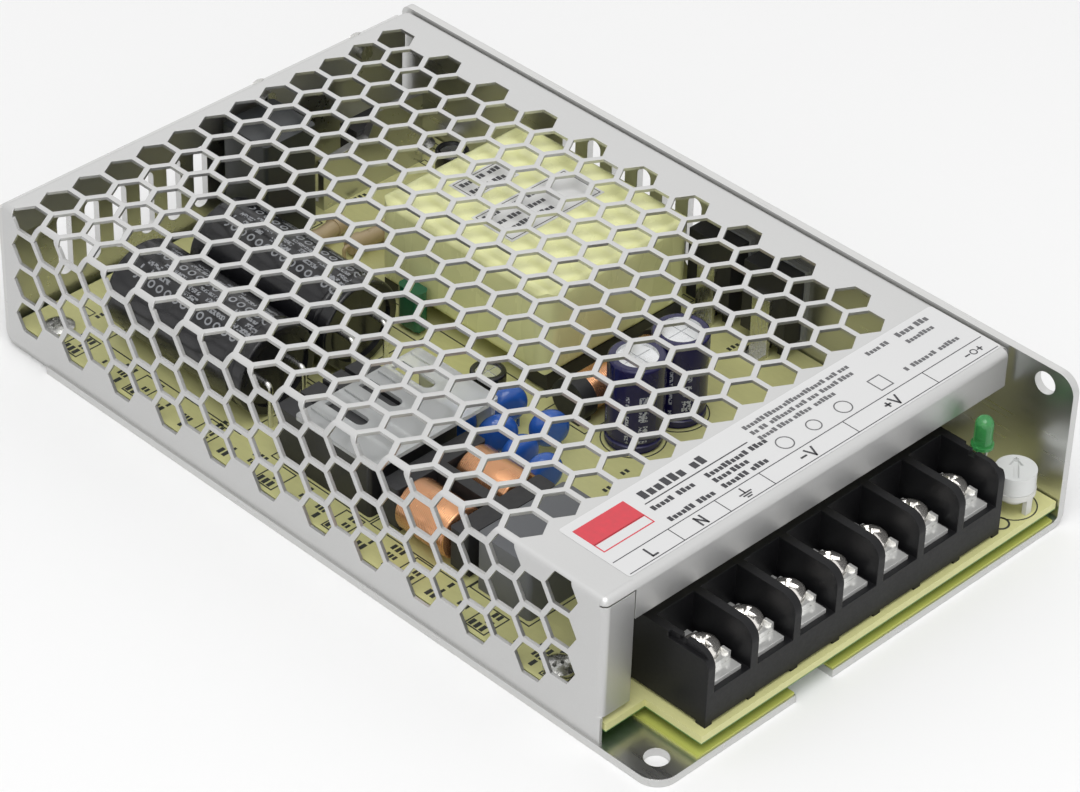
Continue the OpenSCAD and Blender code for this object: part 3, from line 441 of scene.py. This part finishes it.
def milky_plastic():
    """Clear polycarbonate, slightly milky."""
    f = Finish("milky_plastic", (0.93, 0.95, 0.95), 0.1, transmission_weight=0.55, ior=1.45)
    f.soft_edges(0.15 * MM)
    haze = f.noise(180, 3)
    f.roughen(f.spread(haze, 0.06, 0.16))
    f.bump(haze, 0.06 * MM, 0.4)
    return f.done()


def lamp_resin():
    """Tinted clear resin of the lamp."""
    f = Finish("lamp_resin", (0.10, 0.50, 0.16), 0.12, transmission_weight=0.6, ior=1.5)
    haze = f.noise(700, 2)
    f.roughen(f.spread(haze, 0.08, 0.2))
    f.bump(haze, 0.01 * MM, 0.3)
    return f.done()


def label_film():
    """White polyester label with a satin print surface."""
    f = Finish("label_film", colours().label, 0.38)
    cloud = f.noise(120, 3)
    f.paint(f.mottle(cloud, tuple(colours().label), 0.02))
    f.roughen(f.spread(cloud, 0.34, 0.44))
    f.bump(cloud, 0.01 * MM, 0.4)
    return f.done()


def ink(name, colour, roughness=0.5):
    """Screen printed ink, slightly uneven."""
    f = Finish(name, colour, roughness)
    cloud = f.noise(900, 3)
    f.paint(f.mottle(cloud, tuple(colour), 0.15))
    f.roughen(f.spread(cloud, roughness - 0.06, roughness + 0.08))
    return f.done()


def banded_resistor():
    """Tan lacquer, glossy and slightly uneven."""
    f = Finish("banded_resistor", (0.52, 0.40, 0.24), 0.3, coat_weight=0.3)
    cloud = f.noise(300, 3)
    f.paint(f.mottle(cloud, (0.52, 0.40, 0.24), 0.12))
    f.roughen(f.spread(cloud, 0.24, 0.38))
    f.bump(cloud, 0.03 * MM, 0.5)
    return f.done()


# ------------------------------------------------------------------ mesh helpers


def dress(node, material):
    """Gives a CAD node its finish."""
    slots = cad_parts[node].data.materials
    slots.clear()
    slots.append(material)


def piece(name, mesh, material, body=CASE, smooth=False):
    """Turns a bmesh into a finished piece that rides on a body; smooth keeps its sharp corners."""
    bmesh.ops.remove_doubles(mesh, verts=mesh.verts, dist=1e-7)
    bmesh.ops.recalc_face_normals(mesh, faces=mesh.faces)
    data = bpy.data.meshes.new(name)
    mesh.to_mesh(data)
    mesh.free()
    data.materials.append(material)
    made = bpy.data.objects.new(name, data)
    bpy.context.scene.collection.objects.link(made)
    if smooth:
        data.shade_smooth()
        data.set_sharp_from_angle(angle=math.radians(35))
    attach(made, body)
    return made


def recut(node, name, move, material, body=CASE, smooth=False):
    """A copy of a node's form with its points moved, which stands for the node."""
    mesh = bmesh.new()
    mesh.from_mesh(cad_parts[node].data)
    bmesh.ops.remove_doubles(mesh, verts=mesh.verts, dist=1e-7)
    for vertex in mesh.verts:
        vertex.co = move(vertex.co)
    made = piece(name, mesh, material, body, smooth)
    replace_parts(made, node)
    return made


def narrowed(centre, wide, deep, above=-1.0):
    """Moves points towards an upright axis, from a height upwards."""
    def move(point):
        if point.z < above:
            return point
        off = point - centre
        return Vector((centre.x + off.x * wide, centre.y + off.y * deep, point.z))
    return move


def block(mesh, low, high, turn=0.0):
    """A box between two corners, turned about its own upright axis."""
    low, high = Vector(low), Vector(high)
    middle, size = (low + high) / 2, high - low
    matrix = Matrix.Translation(middle) @ Matrix.Rotation(turn, 4, "Z") @ Matrix.Diagonal((*size, 1))
    bmesh.ops.create_cube(mesh, size=1, matrix=matrix)


def lathe(mesh, profile, centre, axis="Z", steps=32):
    """Spins a closed profile of (radius, height) points round an axis through centre."""
    quarter = math.pi / 2
    turn = {"Z": Matrix(), "Y": Matrix.Rotation(-quarter, 4, "X"),
            "X": Matrix.Rotation(quarter, 4, "Y")}[axis]
    before = set(mesh.verts)
    verts = [mesh.verts.new((r, 0, h)) for r, h in profile]
    edges = [mesh.edges.new((a, b)) for a, b in zip(verts, verts[1:] + verts[:1])]
    bmesh.ops.spin(mesh, geom=verts + edges, cent=(0, 0, 0), axis=(0, 0, 1), angle=2 * math.pi,
                   steps=steps, use_merge=True)
    bmesh.ops.transform(mesh, matrix=Matrix.Translation(centre) @ turn,
                        verts=[v for v in mesh.verts if v not in before])


def barrel(mesh, start, radius, bore, length, axis):
    """A close winding: a tube with softly rounded ends."""
    soft = 0.5 * MM
    near, far = soft * 0.3, length - soft
    profile = [(bore, 0), (radius - soft, 0), (radius - near, near), (radius, soft), (radius, far),
               (radius - near, length - near), (radius - soft, length), (bore, length)]
    lathe(mesh, profile, start, axis, 48)


def ring(mesh, centre, radius, width, height, steps=40):
    """A flat ring standing on centre."""
    inner, outer = radius - width / 2, radius + width / 2
    profile = [(inner, 0), (outer, 0), (outer, height), (inner, height)]
    lathe(mesh, profile, centre, steps=steps)


def outline(mesh, low, high, line, z, height=FILM):
    """A printed rectangle of four lines."""
    (x0, y0), (x1, y1) = low, high
    block(mesh, (x0, y0, z), (x1, y0 + line, z + height))
    block(mesh, (x0, y1 - line, z), (x1, y1, z + height))
    block(mesh, (x0, y0 + line, z), (x0 + line, y1 - line, z + height))
    block(mesh, (x1 - line, y0 + line, z), (x1, y1 - line, z + height))


def words(mesh, start, height, lengths, z, gap=0.45, thickness=FILM):
    """A line of plain print: a row of small blocks for each word; lengths in millimetres."""
    x, y = start
    wide, clear = height * 0.62, height * 0.24
    for word, length in enumerate(lengths):
        count = max(1, round(length * MM / (wide + clear)))
        for k in range(count):
            tall = height if (k * 7 + word * 3) % 5 in (0, 3) else height * 0.76
            corner = x + k * (wide + clear)
            block(mesh, (corner, y, z), (corner + wide, y + tall, z + thickness))
        x += (length + gap) * MM
    return x


def stroke(mesh, start, end, width, z, thickness=FILM):
    """A straight printed line between two points."""
    a, b = Vector(start), Vector(end)
    middle, along = (a + b) / 2, b - a
    size = (along.length + width, width, thickness)
    matrix = (Matrix.Translation((middle.x, middle.y, z + thickness / 2))
              @ Matrix.Rotation(math.atan2(along.y, along.x), 4, "Z") @ Matrix.Diagonal((*size, 1)))
    bmesh.ops.create_cube(mesh, size=1, matrix=matrix)


# ------------------------------------------------------------------ operators


class SUPPLY_OT_case(bpy.types.Operator):
    """Finish the folded chassis, the perforated cover and their screws"""

    bl_idname = "supply.case"
    bl_label = "Case"

    def execute(self, context):
        sheet = rolled_sheet()
        screw = bright_steel("case_screw", (0.60, 0.60, 0.58))
        dress("chassis", sheet)
        dress("rear_heat_sink", sheet)
        cover = plated_cover()
        dress("mesh_cover", cover)
        self.corner(cover)
        dress("cover_screws", screw)
        dress("board_screws", screw)
        dress("board_pillars", screw)
        dress("insulation_sheet", film_green())
        return {"FINISHED"}

    def corner(self, material):
        """The short end of the cover's front fold and the rounded corner where it meets the side fold."""
        low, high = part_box("mesh_cover")
        steps = 6
        arc = [math.pi / 2 * k / steps for k in range(steps + 1)]
        section = [(BEND, a) for a in arc] + [(BEND - SHEET, a) for a in reversed(arc)]
        mesh = bmesh.new()
        verts = [mesh.verts.new((0, -reach * math.cos(a), reach * math.sin(a))) for reach, a in section]
        edges = [mesh.edges.new((a, b)) for a, b in zip(verts, verts[1:] + verts[:1])]
        bmesh.ops.spin(mesh, geom=verts + edges, cent=(0, 0, 0), axis=(0, 0, 1), angle=-math.pi / 2,
                       steps=steps)
        grown = bmesh.ops.extrude_edge_only(mesh, edges=edges)["geom"]
        ends = [part for part in grown if isinstance(part, bmesh.types.BMVert)]
        bmesh.ops.translate(mesh, verts=ends, vec=(FLANGE, 0, 0))
        bmesh.ops.remove_doubles(mesh, verts=mesh.verts, dist=1e-7)
        bmesh.ops.holes_fill(mesh, edges=[e for e in mesh.edges if e.is_boundary], sides=0)
        bmesh.ops.translate(mesh, verts=mesh.verts, vec=(low.x + BEND, low.y + BEND, high.z - BEND))
        piece("cover_corner", mesh, material, smooth=True)


class SUPPLY_OT_label(bpy.types.Operator):
    """Stick the printed label on the plain front of the cover"""

    bl_idname = "supply.label"
    bl_label = "Label"

    def execute(self, context):
        low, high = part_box("mesh_cover")
        z = high.z
        left, right = low.x + 7 * MM, high.x - 0.9 * MM
        front, back = low.y + 1.7 * MM, low.y + 17.1 * MM
        film = bmesh.new()
        block(film, (left, front, z), (right, back, z + FILM))
        corners = [e for e in film.edges if abs(e.verts[0].co.z - e.verts[1].co.z) > FILM / 2]
        bmesh.ops.bevel(film, geom=corners, offset=0.6 * MM, offset_type="OFFSET", segments=4,
                        profile=0.5, affect="EDGES", material=-1)
        piece("cover_label", film, label_film())

        line = sizes().print_line
        top = z + FILM
        black = bmesh.new()
        strip = front + 4.0 * MM
        for y in (strip, front + 0.35 * MM):
            block(black, (left + 0.5 * MM, y, top), (right - 0.5 * MM, y + line * 0.7, top + FILM / 2))
        # terminal strip: dividers, and generic line, neutral, earth, minus and plus signs
        for step in (12.4, 22.8, 32.9, 52.5, 71.8):
            x = left + step * MM
            block(black, (x, front + 0.4 * MM, top), (x + line * 0.7, strip, top + FILM / 2))
        y0, y1 = front + 1.1 * MM, front + 3.1 * MM
        bold = 0.34 * MM
        x = left + 6.2 * MM
        stroke(black, (x, y0), (x, y1), bold, top)
        stroke(black, (x, y0), (x + 1.0 * MM, y0), bold, top)
        x = left + 17.2 * MM
        stroke(black, (x, y0), (x, y1), bold, top)
        stroke(black, (x, y1), (x + 1.2 * MM, y0), bold, top)
        stroke(black, (x + 1.2 * MM, y0), (x + 1.2 * MM, y1), bold, top)
        x = left + 27.8 * MM
        stroke(black, (x, y0 + 1.1 * MM), (x, y1 + 0.3 * MM), bold * 0.7, top)
        for row, half in ((1.0, 1.2), (0.5, 0.8), (0.0, 0.4)):
            stroke(black, (x - half * MM, y0 + row * MM), (x + half * MM, y0 + row * MM), bold * 0.7, top)
        for x, plus in ((left + 42.4 * MM, False), (left + 62.4 * MM, True)):
            middle = (y0 + y1) / 2
            stroke(black, (x - 1.6 * MM, middle), (x - 0.6 * MM, middle), bold, top)
            if plus:
                stroke(black, (x - 1.1 * MM, middle - 0.5 * MM), (x - 1.1 * MM, middle + 0.5 * MM), bold, top)
            stroke(black, (x, y1), (x + 0.8 * MM, y0), bold, top)
            stroke(black, (x + 0.8 * MM, y0), (x + 1.6 * MM, y1), bold, top)
        x = left + 80.5 * MM
        stroke(black, (x, (y0 + y1) / 2), (x + 0.9 * MM, (y0 + y1) / 2), bold * 0.7, top)
        stroke(black, (x + 3.0 * MM, (y0 + y1) / 2), (x + 3.9 * MM, (y0 + y1) / 2), bold * 0.7, top)
        stroke(black, (x + 3.45 * MM, y0 + 0.5 * MM), (x + 3.45 * MM, y1 - 0.5 * MM), bold * 0.7, top)
        ring(black, (x + 1.95 * MM, (y0 + y1) / 2, top), 0.6 * MM, bold * 0.6, FILM / 2, 24)
        # rating lines
        x = left + 15.2 * MM
        words(black, (x, front + 11.6 * MM), 1.9 * MM, [4.3, 5.6, 3.2], top, 0.7)
        under = front + 10.6 * MM
        block(black, (x - 0.9 * MM, under, top), (left + 37.5 * MM, under + line, top + FILM / 2))
        for row, lengths in ((8.6, [5.2, 3.4]), (5.0, [6.0, 3.8])):
            words(black, (x - 0.9 * MM, front + row * MM), 1.1 * MM, lengths, top)
        for row, lengths in ((8.6, [9.6, 3.4]), (6.9, [3.6, 4.2]), (5.0, [3.4, 2.2, 3.8])):
            words(black, (left + 26.4 * MM, front + row * MM), 1.1 * MM, lengths, top)
        grey = bmesh.new()
        x = left + 39.6 * MM
        for row, lengths in ((13.0, [4.6, 3.8, 9.8, 2.4, 2.8]), (11.3, [1.6, 1.9, 5.6, 2.4, 2.6, 4.0, 3.2]),
                             (9.6, [4.0, 3.2, 4.4, 4.8])):
            words(grey, (x, front + row * MM), 0.95 * MM, lengths, top)
        for step, radius in ((41.8, 1.5), (48.6, 1.3), (55.6, 1.5)):
            ring(grey, (left + step * MM, front + 6.6 * MM, top), radius * MM, line, FILM / 2, 32)
        outline(grey, (left + 63.4 * MM, front + 5.2 * MM), (left + 66.4 * MM, front + 8.6 * MM), line, top,
                FILM / 2)
        words(grey, (left + 69.0 * MM, front + 13.0 * MM), 0.95 * MM, [3.2, 2.0], top)
        words(grey, (left + 76.5 * MM, front + 13.0 * MM), 1.2 * MM, [4.2, 2.6], top)
        words(grey, (left + 76.5 * MM, front + 10.8 * MM), 0.95 * MM, [6.8], top)
        words(grey, (left + 70.5 * MM, front + 6.0 * MM), 0.95 * MM, [1.2, 3.8, 2.0, 5.2], top)
        piece("label_print", black, ink("label_black", (0.03, 0.03, 0.035)))
        piece("label_fine_print", grey, ink("label_grey", (0.12, 0.12, 0.125)))

        field = bmesh.new()
        x, y = left + 1.3 * MM, front + 6.7 * MM
        block(field, (x, y + 2.2 * MM, top), (x + 11.1 * MM, y + 6.9 * MM, top + FILM / 2))
        outline(field, (x, y), (x + 11.1 * MM, y + 2.3 * MM), line, top, FILM / 2)
        piece("label_field", field, ink("label_accent", tuple(colours().accent)))
        return {"FINISHED"}


class SUPPLY_OT_board(bpy.types.Operator):
    """Finish the circuit board and print its outlines and marks"""

    bl_idname = "supply.board"
    bl_label = "Circuit board"

    def execute(self, context):
        dress("circuit_board", laminate())
        low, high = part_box("circuit_board")
        z = high.z
        line = sizes().print_line
        marks = bmesh.new()
        # outlines round the larger parts
        for node, margin in (("bulk_capacitor_left", 0.6), ("bulk_capacitor_right", 0.6),
                             ("transformer_bobbin", 1.0), ("mains_choke", 0.7), ("line_capacitor", 0.8),
                             ("filter_choke_core", 1.2), ("inrush_relay", 0.7), ("output_choke_core", 0.8),
                             ("green_capacitor", 0.7)):
            a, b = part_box(node)
            m = margin * MM
            outline(marks, (a.x - m, a.y - m), (b.x + m, b.y + m), line, z)
        for node in ("output_capacitor_left", "output_capacitor_right", "aux_capacitor", "bypass_capacitor"):
            a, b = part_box(node)
            middle = (a + b) / 2
            ring(marks, (middle.x, middle.y, z), (b.x - a.x) / 2 + 0.6 * MM, line, FILM)
        # track and creepage lines in front, and the marks beside the trimmer
        a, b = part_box("output_capacitor_left")
        for k in range(5):
            y = a.y - (3.2 + 1.1 * k) * MM
            block(marks, (a.x - 14 * MM, y, z), (a.x - (3 + 0.7 * k) * MM, y + line, z + FILM))
        a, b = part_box("trimmer_base")
        ring(marks, (a.x - 1.6 * MM, a.y + 1.8 * MM, z), 1.5 * MM, 0.35 * MM, FILM)
        ring(marks, ((a.x + b.x) / 2, (a.y + b.y) / 2, z), 4.2 * MM, line, FILM)
        a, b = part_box("terminal_block")
        block(marks, (a.x - 1.0 * MM, b.y + 0.8 * MM, z), (b.x + 1.0 * MM, b.y + 0.8 * MM + line, z + FILM))
        for k in range(23):
            y = low.y + (24 + 5.6 * k) * MM
            for row, size in ((1.2, 1.5), (3.2, 1.0), (5.0, 1.3))[: 2 + k % 2]:
                for sign in range(1 + (k + round(size)) % 3):
                    spot = y + sign * size * 0.8 * MM
                    block(marks, (low.x + row * MM, spot, z),
                          (low.x + (row + size) * MM, spot + size * 0.5 * MM, z + FILM))
            if k % 3 == 0:
                outline(marks, (low.x + 0.8 * MM, y - 1.0 * MM), (low.x + 6.6 * MM, y + 3.6 * MM), line, z)
        rng = random.Random(5)
        for k in range(46):
            x = low.x + (6 + 86 * rng.random()) * MM
            y = low.y + (22 + 128 * rng.random()) * MM
            size = (1.0 + rng.random()) * MM
            if k % 3 == 0:
                outline(marks, (x, y), (x + size, y + size * 1.8), line * 0.8, z)
            else:
                words(marks, (x, y), 0.9 * MM, [0.7, 0.7, 0.7][: 1 + k % 3], z, 0.3)
        piece("board_print", marks, ink("board_black", (0.03, 0.035, 0.03)))
        return {"FINISHED"}


class SUPPLY_OT_terminals(bpy.types.Operator):
    """Finish the terminal block with its plates and screws"""

    bl_idname = "supply.terminals"
    bl_label = "Terminals"

    def execute(self, context):
        plate = bright_steel("terminal_plate", (0.90, 0.90, 0.88), 0.14, 0.22, 0.6)
        screw = bright_steel("terminal_screw", (0.84, 0.81, 0.77), 0.12, 0.22, 0.85)
        plastic = moulded("block_plastic", tuple(colours().block), 0.44, 0.012, 0.2, 0.2, 0.22)
        low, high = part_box("terminal_block")
        drop = Vector((0, 0, -sizes().barrier_drop))
        recut("terminal_block", "terminal_moulding", lambda p: p + drop if p.z > high.z - 4 * MM else p,
              plastic)
        heads, plates = sizes().head_share, sizes().plate_share
        pitch = (high.x - low.x - BARRIER) / TERMINALS

        def beside_cell(point):
            cell = math.floor((point.x - low.x - BARRIER / 2) / pitch)
            centre = low.x + BARRIER / 2 + (cell + 0.5) * pitch
            return Vector((centre + (point.x - centre) * plates, point.y, point.z))

        recut("contact_plates", "contact_plate_set", beside_cell, plate)
        for number in range(1, TERMINALS + 1):
            node = f"clamp_plate_{number}"
            a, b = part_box(node)
            centre = (a + b) / 2
            recut(node, f"clamp_square_{number}", narrowed(centre, plates, 1.0), plate, f"clamp_{number}")
            node = f"terminal_screw_{number}"
            narrow_head = narrowed(centre, heads, heads, a.z + CLAMP)
            recut(node, f"clamp_screw_{number}", narrow_head, screw, f"screw_{number}", smooth=True)
        return {"FINISHED"}


class SUPPLY_OT_trimmer(bpy.types.Operator):
    """Finish the trimmer and the lamp"""

    bl_idname = "supply.trimmer"
    bl_label = "Trimmer and lamp"

    def execute(self, context):
        dress("trimmer_base", moulded("trimmer_white", (0.66, 0.66, 0.63), 0.42))
        dress("trimmer_knob", moulded("knob_white", (0.70, 0.71, 0.70), 0.38))
        dress("lamp_lens", lamp_resin())
        dress("lamp_legs", bright_steel("tinned_wire", (0.70, 0.70, 0.68)))
        return {"FINISHED"}


class SUPPLY_OT_capacitors(bpy.types.Operator):
    """Finish the capacitors and print their sleeves"""

    bl_idname = "supply.capacitors"
    bl_label = "Capacitors"

    def execute(self, context):
        silver = (0.30, 0.31, 0.33)
        black = (0.010, 0.010, 0.012)
        for side, turn in (("left", -4), ("right", 10)):
            node = f"bulk_capacitor_{side}"
            bands = [(turn - 34, 0.6, 2.1, 0), (turn - 22, 0.45, 7.0, 0.3), (turn - 13, 0.45, 5.0, 0.35),
                     (turn - 5, 0.35, 9.0, 0.4), (turn + 6, 0.6, 2.1, 0), (turn + 18, 0.45, 6.0, 0.3),
                     (turn + 26, 0.35, 8.0, 0.45), (turn + 60, 0.6, 2.1, 0)]
            f = printed_sleeve(f"sleeve_{side}", node, black, silver, "Y", bands)
            dress(node, f.done())
        dress("bulk_capacitor_leads", bright_steel("capacitor_lead", (0.70, 0.70, 0.68)))
        pale = (0.50, 0.52, 0.62)
        for side in ("left", "right"):
            node = f"output_capacitor_{side}"
            bands = [(-150, 0.8, 3.0, 0.3), (-118, 0.3, 4.0, 0.3), (-60, 0.3, 3.6, 0.4), (-40, 0.3, 4.4, 0.4),
                     (140, 0.5, 3.4, 0.4)]
            f = printed_sleeve(f"output_sleeve_{side}", node, tuple(colours().sleeve), pale, "Z", bands)
            dress(node, can_top(f, node, 3.6 * MM))
        for node in ("aux_capacitor", "bypass_capacitor"):
            f = printed_sleeve(f"{node}_sleeve", node, black, silver, "Z", [(-120, 0.7, 2.4, 0.4)])
            dress(node, can_top(f, node, 2.2 * MM))
        dress("disc_capacitors", coated("disc_blue", tuple(colours().disc)))
        dress("line_capacitor", moulded("line_grey", (0.13, 0.135, 0.145), 0.4, 0.004, 0.05))
        dress("green_capacitor", coated("green_coating", (0.01, 0.12, 0.06)))
        return {"FINISHED"}


class SUPPLY_OT_transformer(bpy.types.Operator):
    """Finish the transformer and stick plain labels on it"""

    bl_idname = "supply.transformer"
    bl_label = "Transformer"

    def execute(self, context):
        dress("transformer_winding", tape_wrap())
        dress("transformer_bobbin", moulded("bobbin_black", (0.018, 0.018, 0.02), 0.45))
        low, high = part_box("transformer_winding")
        z = high.z
        film = bmesh.new()
        print_black = bmesh.new()
        for a, b, rows in (((11.0, 29.5), (22.5, 35.5), ([3.4, 2.2, 3.0], [5.0, 2.6])),
                           ((7.0, 15.6), (29.5, 25.6), ([4.2, 5.2, 3.0], [3.0, 2.6, 6.0], [7.4, 3.8]))):
            corner = (low.x + a[0] * MM, low.y + a[1] * MM)
            far = (low.x + b[0] * MM, low.y + b[1] * MM)
            block(film, (*corner, z), (*far, z + FILM))
            outline(print_black, (corner[0] + 0.5 * MM, corner[1] + 0.5 * MM),
                    (far[0] - 0.5 * MM, far[1] - 0.5 * MM), 0.15 * MM, z + FILM, FILM / 2)
            for k, lengths in enumerate(rows):
                start = (corner[0] + 1.3 * MM, far[1] - (2.3 + 2.6 * k) * MM)
                words(print_black, start, 1.1 * MM, lengths, z + FILM)
        piece("transformer_labels", film, label_film())
        piece("transformer_print", print_black, ink("transformer_ink", (0.05, 0.05, 0.055)))
        return {"FINISHED"}


class SUPPLY_OT_chokes(bpy.types.Operator):
    """Finish the chokes and the clear cover over one of them"""

    bl_idname = "supply.chokes"
    bl_label = "Chokes"

    def execute(self, context):
        core = ferrite()
        low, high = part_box("filter_choke_windings")
        radius = (high.z - low.z) / 2
        barrels = bmesh.new()
        for x in (low.x + radius, high.x - radius):
            barrel(barrels, (x, low.y, low.z + radius), radius, 2.4 * MM, high.y - low.y, "Y")
        node = "filter_choke_windings"
        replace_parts(piece("choke_windings", barrels, enamel_copper("Y"), smooth=True), node)
        low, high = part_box("output_choke_winding")
        radius = (high.z - low.z) / 2
        barrels = bmesh.new()
        barrel(barrels, (low.x, (low.y + high.y) / 2, low.z + radius), radius, 2.4 * MM, high.x - low.x, "X")
        node = "output_choke_winding"
        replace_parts(piece("drum_winding", barrels, enamel_copper("X"), smooth=True), node)
        dress("filter_choke_core", core)
        dress("output_choke_core", core)
        dress("mains_choke", moulded("choke_black", (0.02, 0.02, 0.022), 0.42))
        dress("mains_choke_cover", milky_plastic())
        return {"FINISHED"}


class SUPPLY_OT_small_parts(bpy.types.Operator):
    """Finish the small parts, the relay and the power packages"""

    bl_idname = "supply.small_parts"
    bl_label = "Small parts"

    def execute(self, context):
        dress("resistors", banded_resistor())
        dress("inrush_relay", moulded("relay_black", (0.03, 0.033, 0.035), 0.35, 0.004))
        dress("rear_transistor", moulded("package_black", (0.02, 0.02, 0.021), 0.4))
        dress("wall_rectifiers", moulded("rectifier_black", (0.022, 0.022, 0.024), 0.4))
        dress("wall_pads", moulded("pad_grey", (0.30, 0.31, 0.32), 0.55))
        dress("wall_clips", bright_steel("clip_steel", (0.66, 0.66, 0.64)))
        return {"FINISHED"}


class SUPPLY_OT_stage(bpy.types.Operator):
    """Set the floor, the soft lights, the world and the camera"""

    bl_idname = "supply.stage"
    bl_label = "Stage"

    def execute(self, context):
        low, _ = CAD_BOX
        self.floor(low.z)
        self.world()
        key = sizes().key_power
        for name, place, size, power in (("key", (-0.30, -0.30, 1.05), 0.9, key),
                                         ("fill", (-0.85, -0.75, 0.55), 0.9, key * 0.18),
                                         ("rim", (0.69, 0.67, 0.72), 1.0, key * 0.06)):
            self.light(name, Vector(place), size, power)
        self.camera()
        context.scene.view_settings.view_transform = "Standard"
        return {"FINISHED"}

    def floor(self, z):
        mesh = bmesh.new()
        bmesh.ops.create_grid(mesh, x_segments=1, y_segments=1, size=6)
        bmesh.ops.translate(mesh, verts=mesh.verts, vec=(0, 0, z - 0.02 * MM))
        data = bpy.data.meshes.new("floor")
        mesh.to_mesh(data)
        mesh.free()
        f = Finish("floor_paper", (0.92, 0.92, 0.92), 0.8)
        f.paint(f.mottle(f.noise(3, 2), (0.92, 0.92, 0.92), 0.01))
        data.materials.append(f.done())
        made = bpy.data.objects.new("floor", data)
        bpy.context.scene.collection.objects.link(made)

    def world(self):
        """White to the eye and in reflections, and a plain level of light from all round."""
        world = bpy.data.worlds.new("studio")
        bpy.context.scene.world = world
        world.use_nodes = True
        tree = world.node_tree
        background = tree.nodes["Background"]
        background.inputs["Color"].default_value = (1, 1, 1, 1)
        path = tree.nodes.new("ShaderNodeLightPath")
        seen = path.outputs["Is Camera Ray"]
        for kind in ("Is Glossy Ray", "Is Transmission Ray"):
            either = tree.nodes.new("ShaderNodeMath")
            either.operation = "MAXIMUM"
            tree.links.new(seen, either.inputs[0])
            tree.links.new(path.outputs[kind], either.inputs[1])
            seen = either.outputs[0]
        strength = tree.nodes.new("ShaderNodeMapRange")
        strength.inputs["To Min"].default_value = 0.6
        strength.inputs["To Max"].default_value = 1.0
        tree.links.new(seen, strength.inputs["Value"])
        tree.links.new(strength.outputs["Result"], background.inputs["Strength"])

    def light(self, name, place, size, power):
        data = bpy.data.lights.new(name, "AREA")
        data.shape = "DISK"
        data.size = size
        data.energy = power
        made = bpy.data.objects.new(name, data)
        made.location = place
        made.rotation_euler = (-place).to_track_quat("-Z", "Y").to_euler()
        bpy.context.scene.collection.objects.link(made)

    def camera(self):
        azimuth, elevation, roll = (math.radians(a) for a in (-45.7756, 36.7574, 1.8162))
        back = Vector((math.sin(azimuth) * math.cos(elevation), -math.cos(azimuth) * math.cos(elevation),
                       math.sin(elevation)))
        right = Vector((-back.y, back.x, 0)).normalized()
        up = back.cross(right)
        across = right * math.cos(roll) + up * math.sin(roll)
        above = up * math.cos(roll) - right * math.sin(roll)
        data = bpy.data.cameras.new("camera")
        data.lens = 130.17
        data.clip_start = 0.05
        data.clip_end = 20
        made = bpy.data.objects.new("camera", data)
        turn = Matrix((across, above, back)).transposed().to_4x4()
        made.matrix_world = Matrix.Translation(Vector((-377.076, -371.810, 403.045)) * MM) @ turn
        bpy.context.scene.collection.objects.link(made)
        bpy.context.scene.camera = made


class SUPPLY_PT_panel(bpy.types.Panel):
    """Sizes, colours and steps in the 3D view's sidebar"""

    bl_label = "Mesh Case Power Supply"
    bl_idname = "SUPPLY_PT_panel"
    bl_space_type = "VIEW_3D"
    bl_region_type = "UI"
    bl_category = "Power Supply"

    def draw(self, context):
        for group in (sizes(), colours()):
            box = self.layout.box()
            for name in group.__annotations__:
                box.prop(group, name)
        column = self.layout.column(align=True)
        for step in STEPS:
            column.operator(step.bl_idname)


STEPS = (SUPPLY_OT_case, SUPPLY_OT_label, SUPPLY_OT_board, SUPPLY_OT_terminals, SUPPLY_OT_trimmer,
         SUPPLY_OT_capacitors, SUPPLY_OT_transformer, SUPPLY_OT_chokes, SUPPLY_OT_small_parts,
         SUPPLY_OT_stage)
CLASSES = (SupplySizes, SupplyColours, *STEPS, SUPPLY_PT_panel)


def register():
    for cls in CLASSES:
        bpy.utils.register_class(cls)
    bpy.types.Scene.supply_sizes = bpy.props.PointerProperty(type=SupplySizes)
    bpy.types.Scene.supply_colours = bpy.props.PointerProperty(type=SupplyColours)


def unregister():
    del bpy.types.Scene.supply_colours
    del bpy.types.Scene.supply_sizes
    for cls in reversed(CLASSES):
        bpy.utils.unregister_class(cls)


def main():
    register()
    for step in STEPS:
        group, name = step.bl_idname.split(".")
        getattr(getattr(bpy.ops, group), name)()


if __name__ == "__main__":
    main()
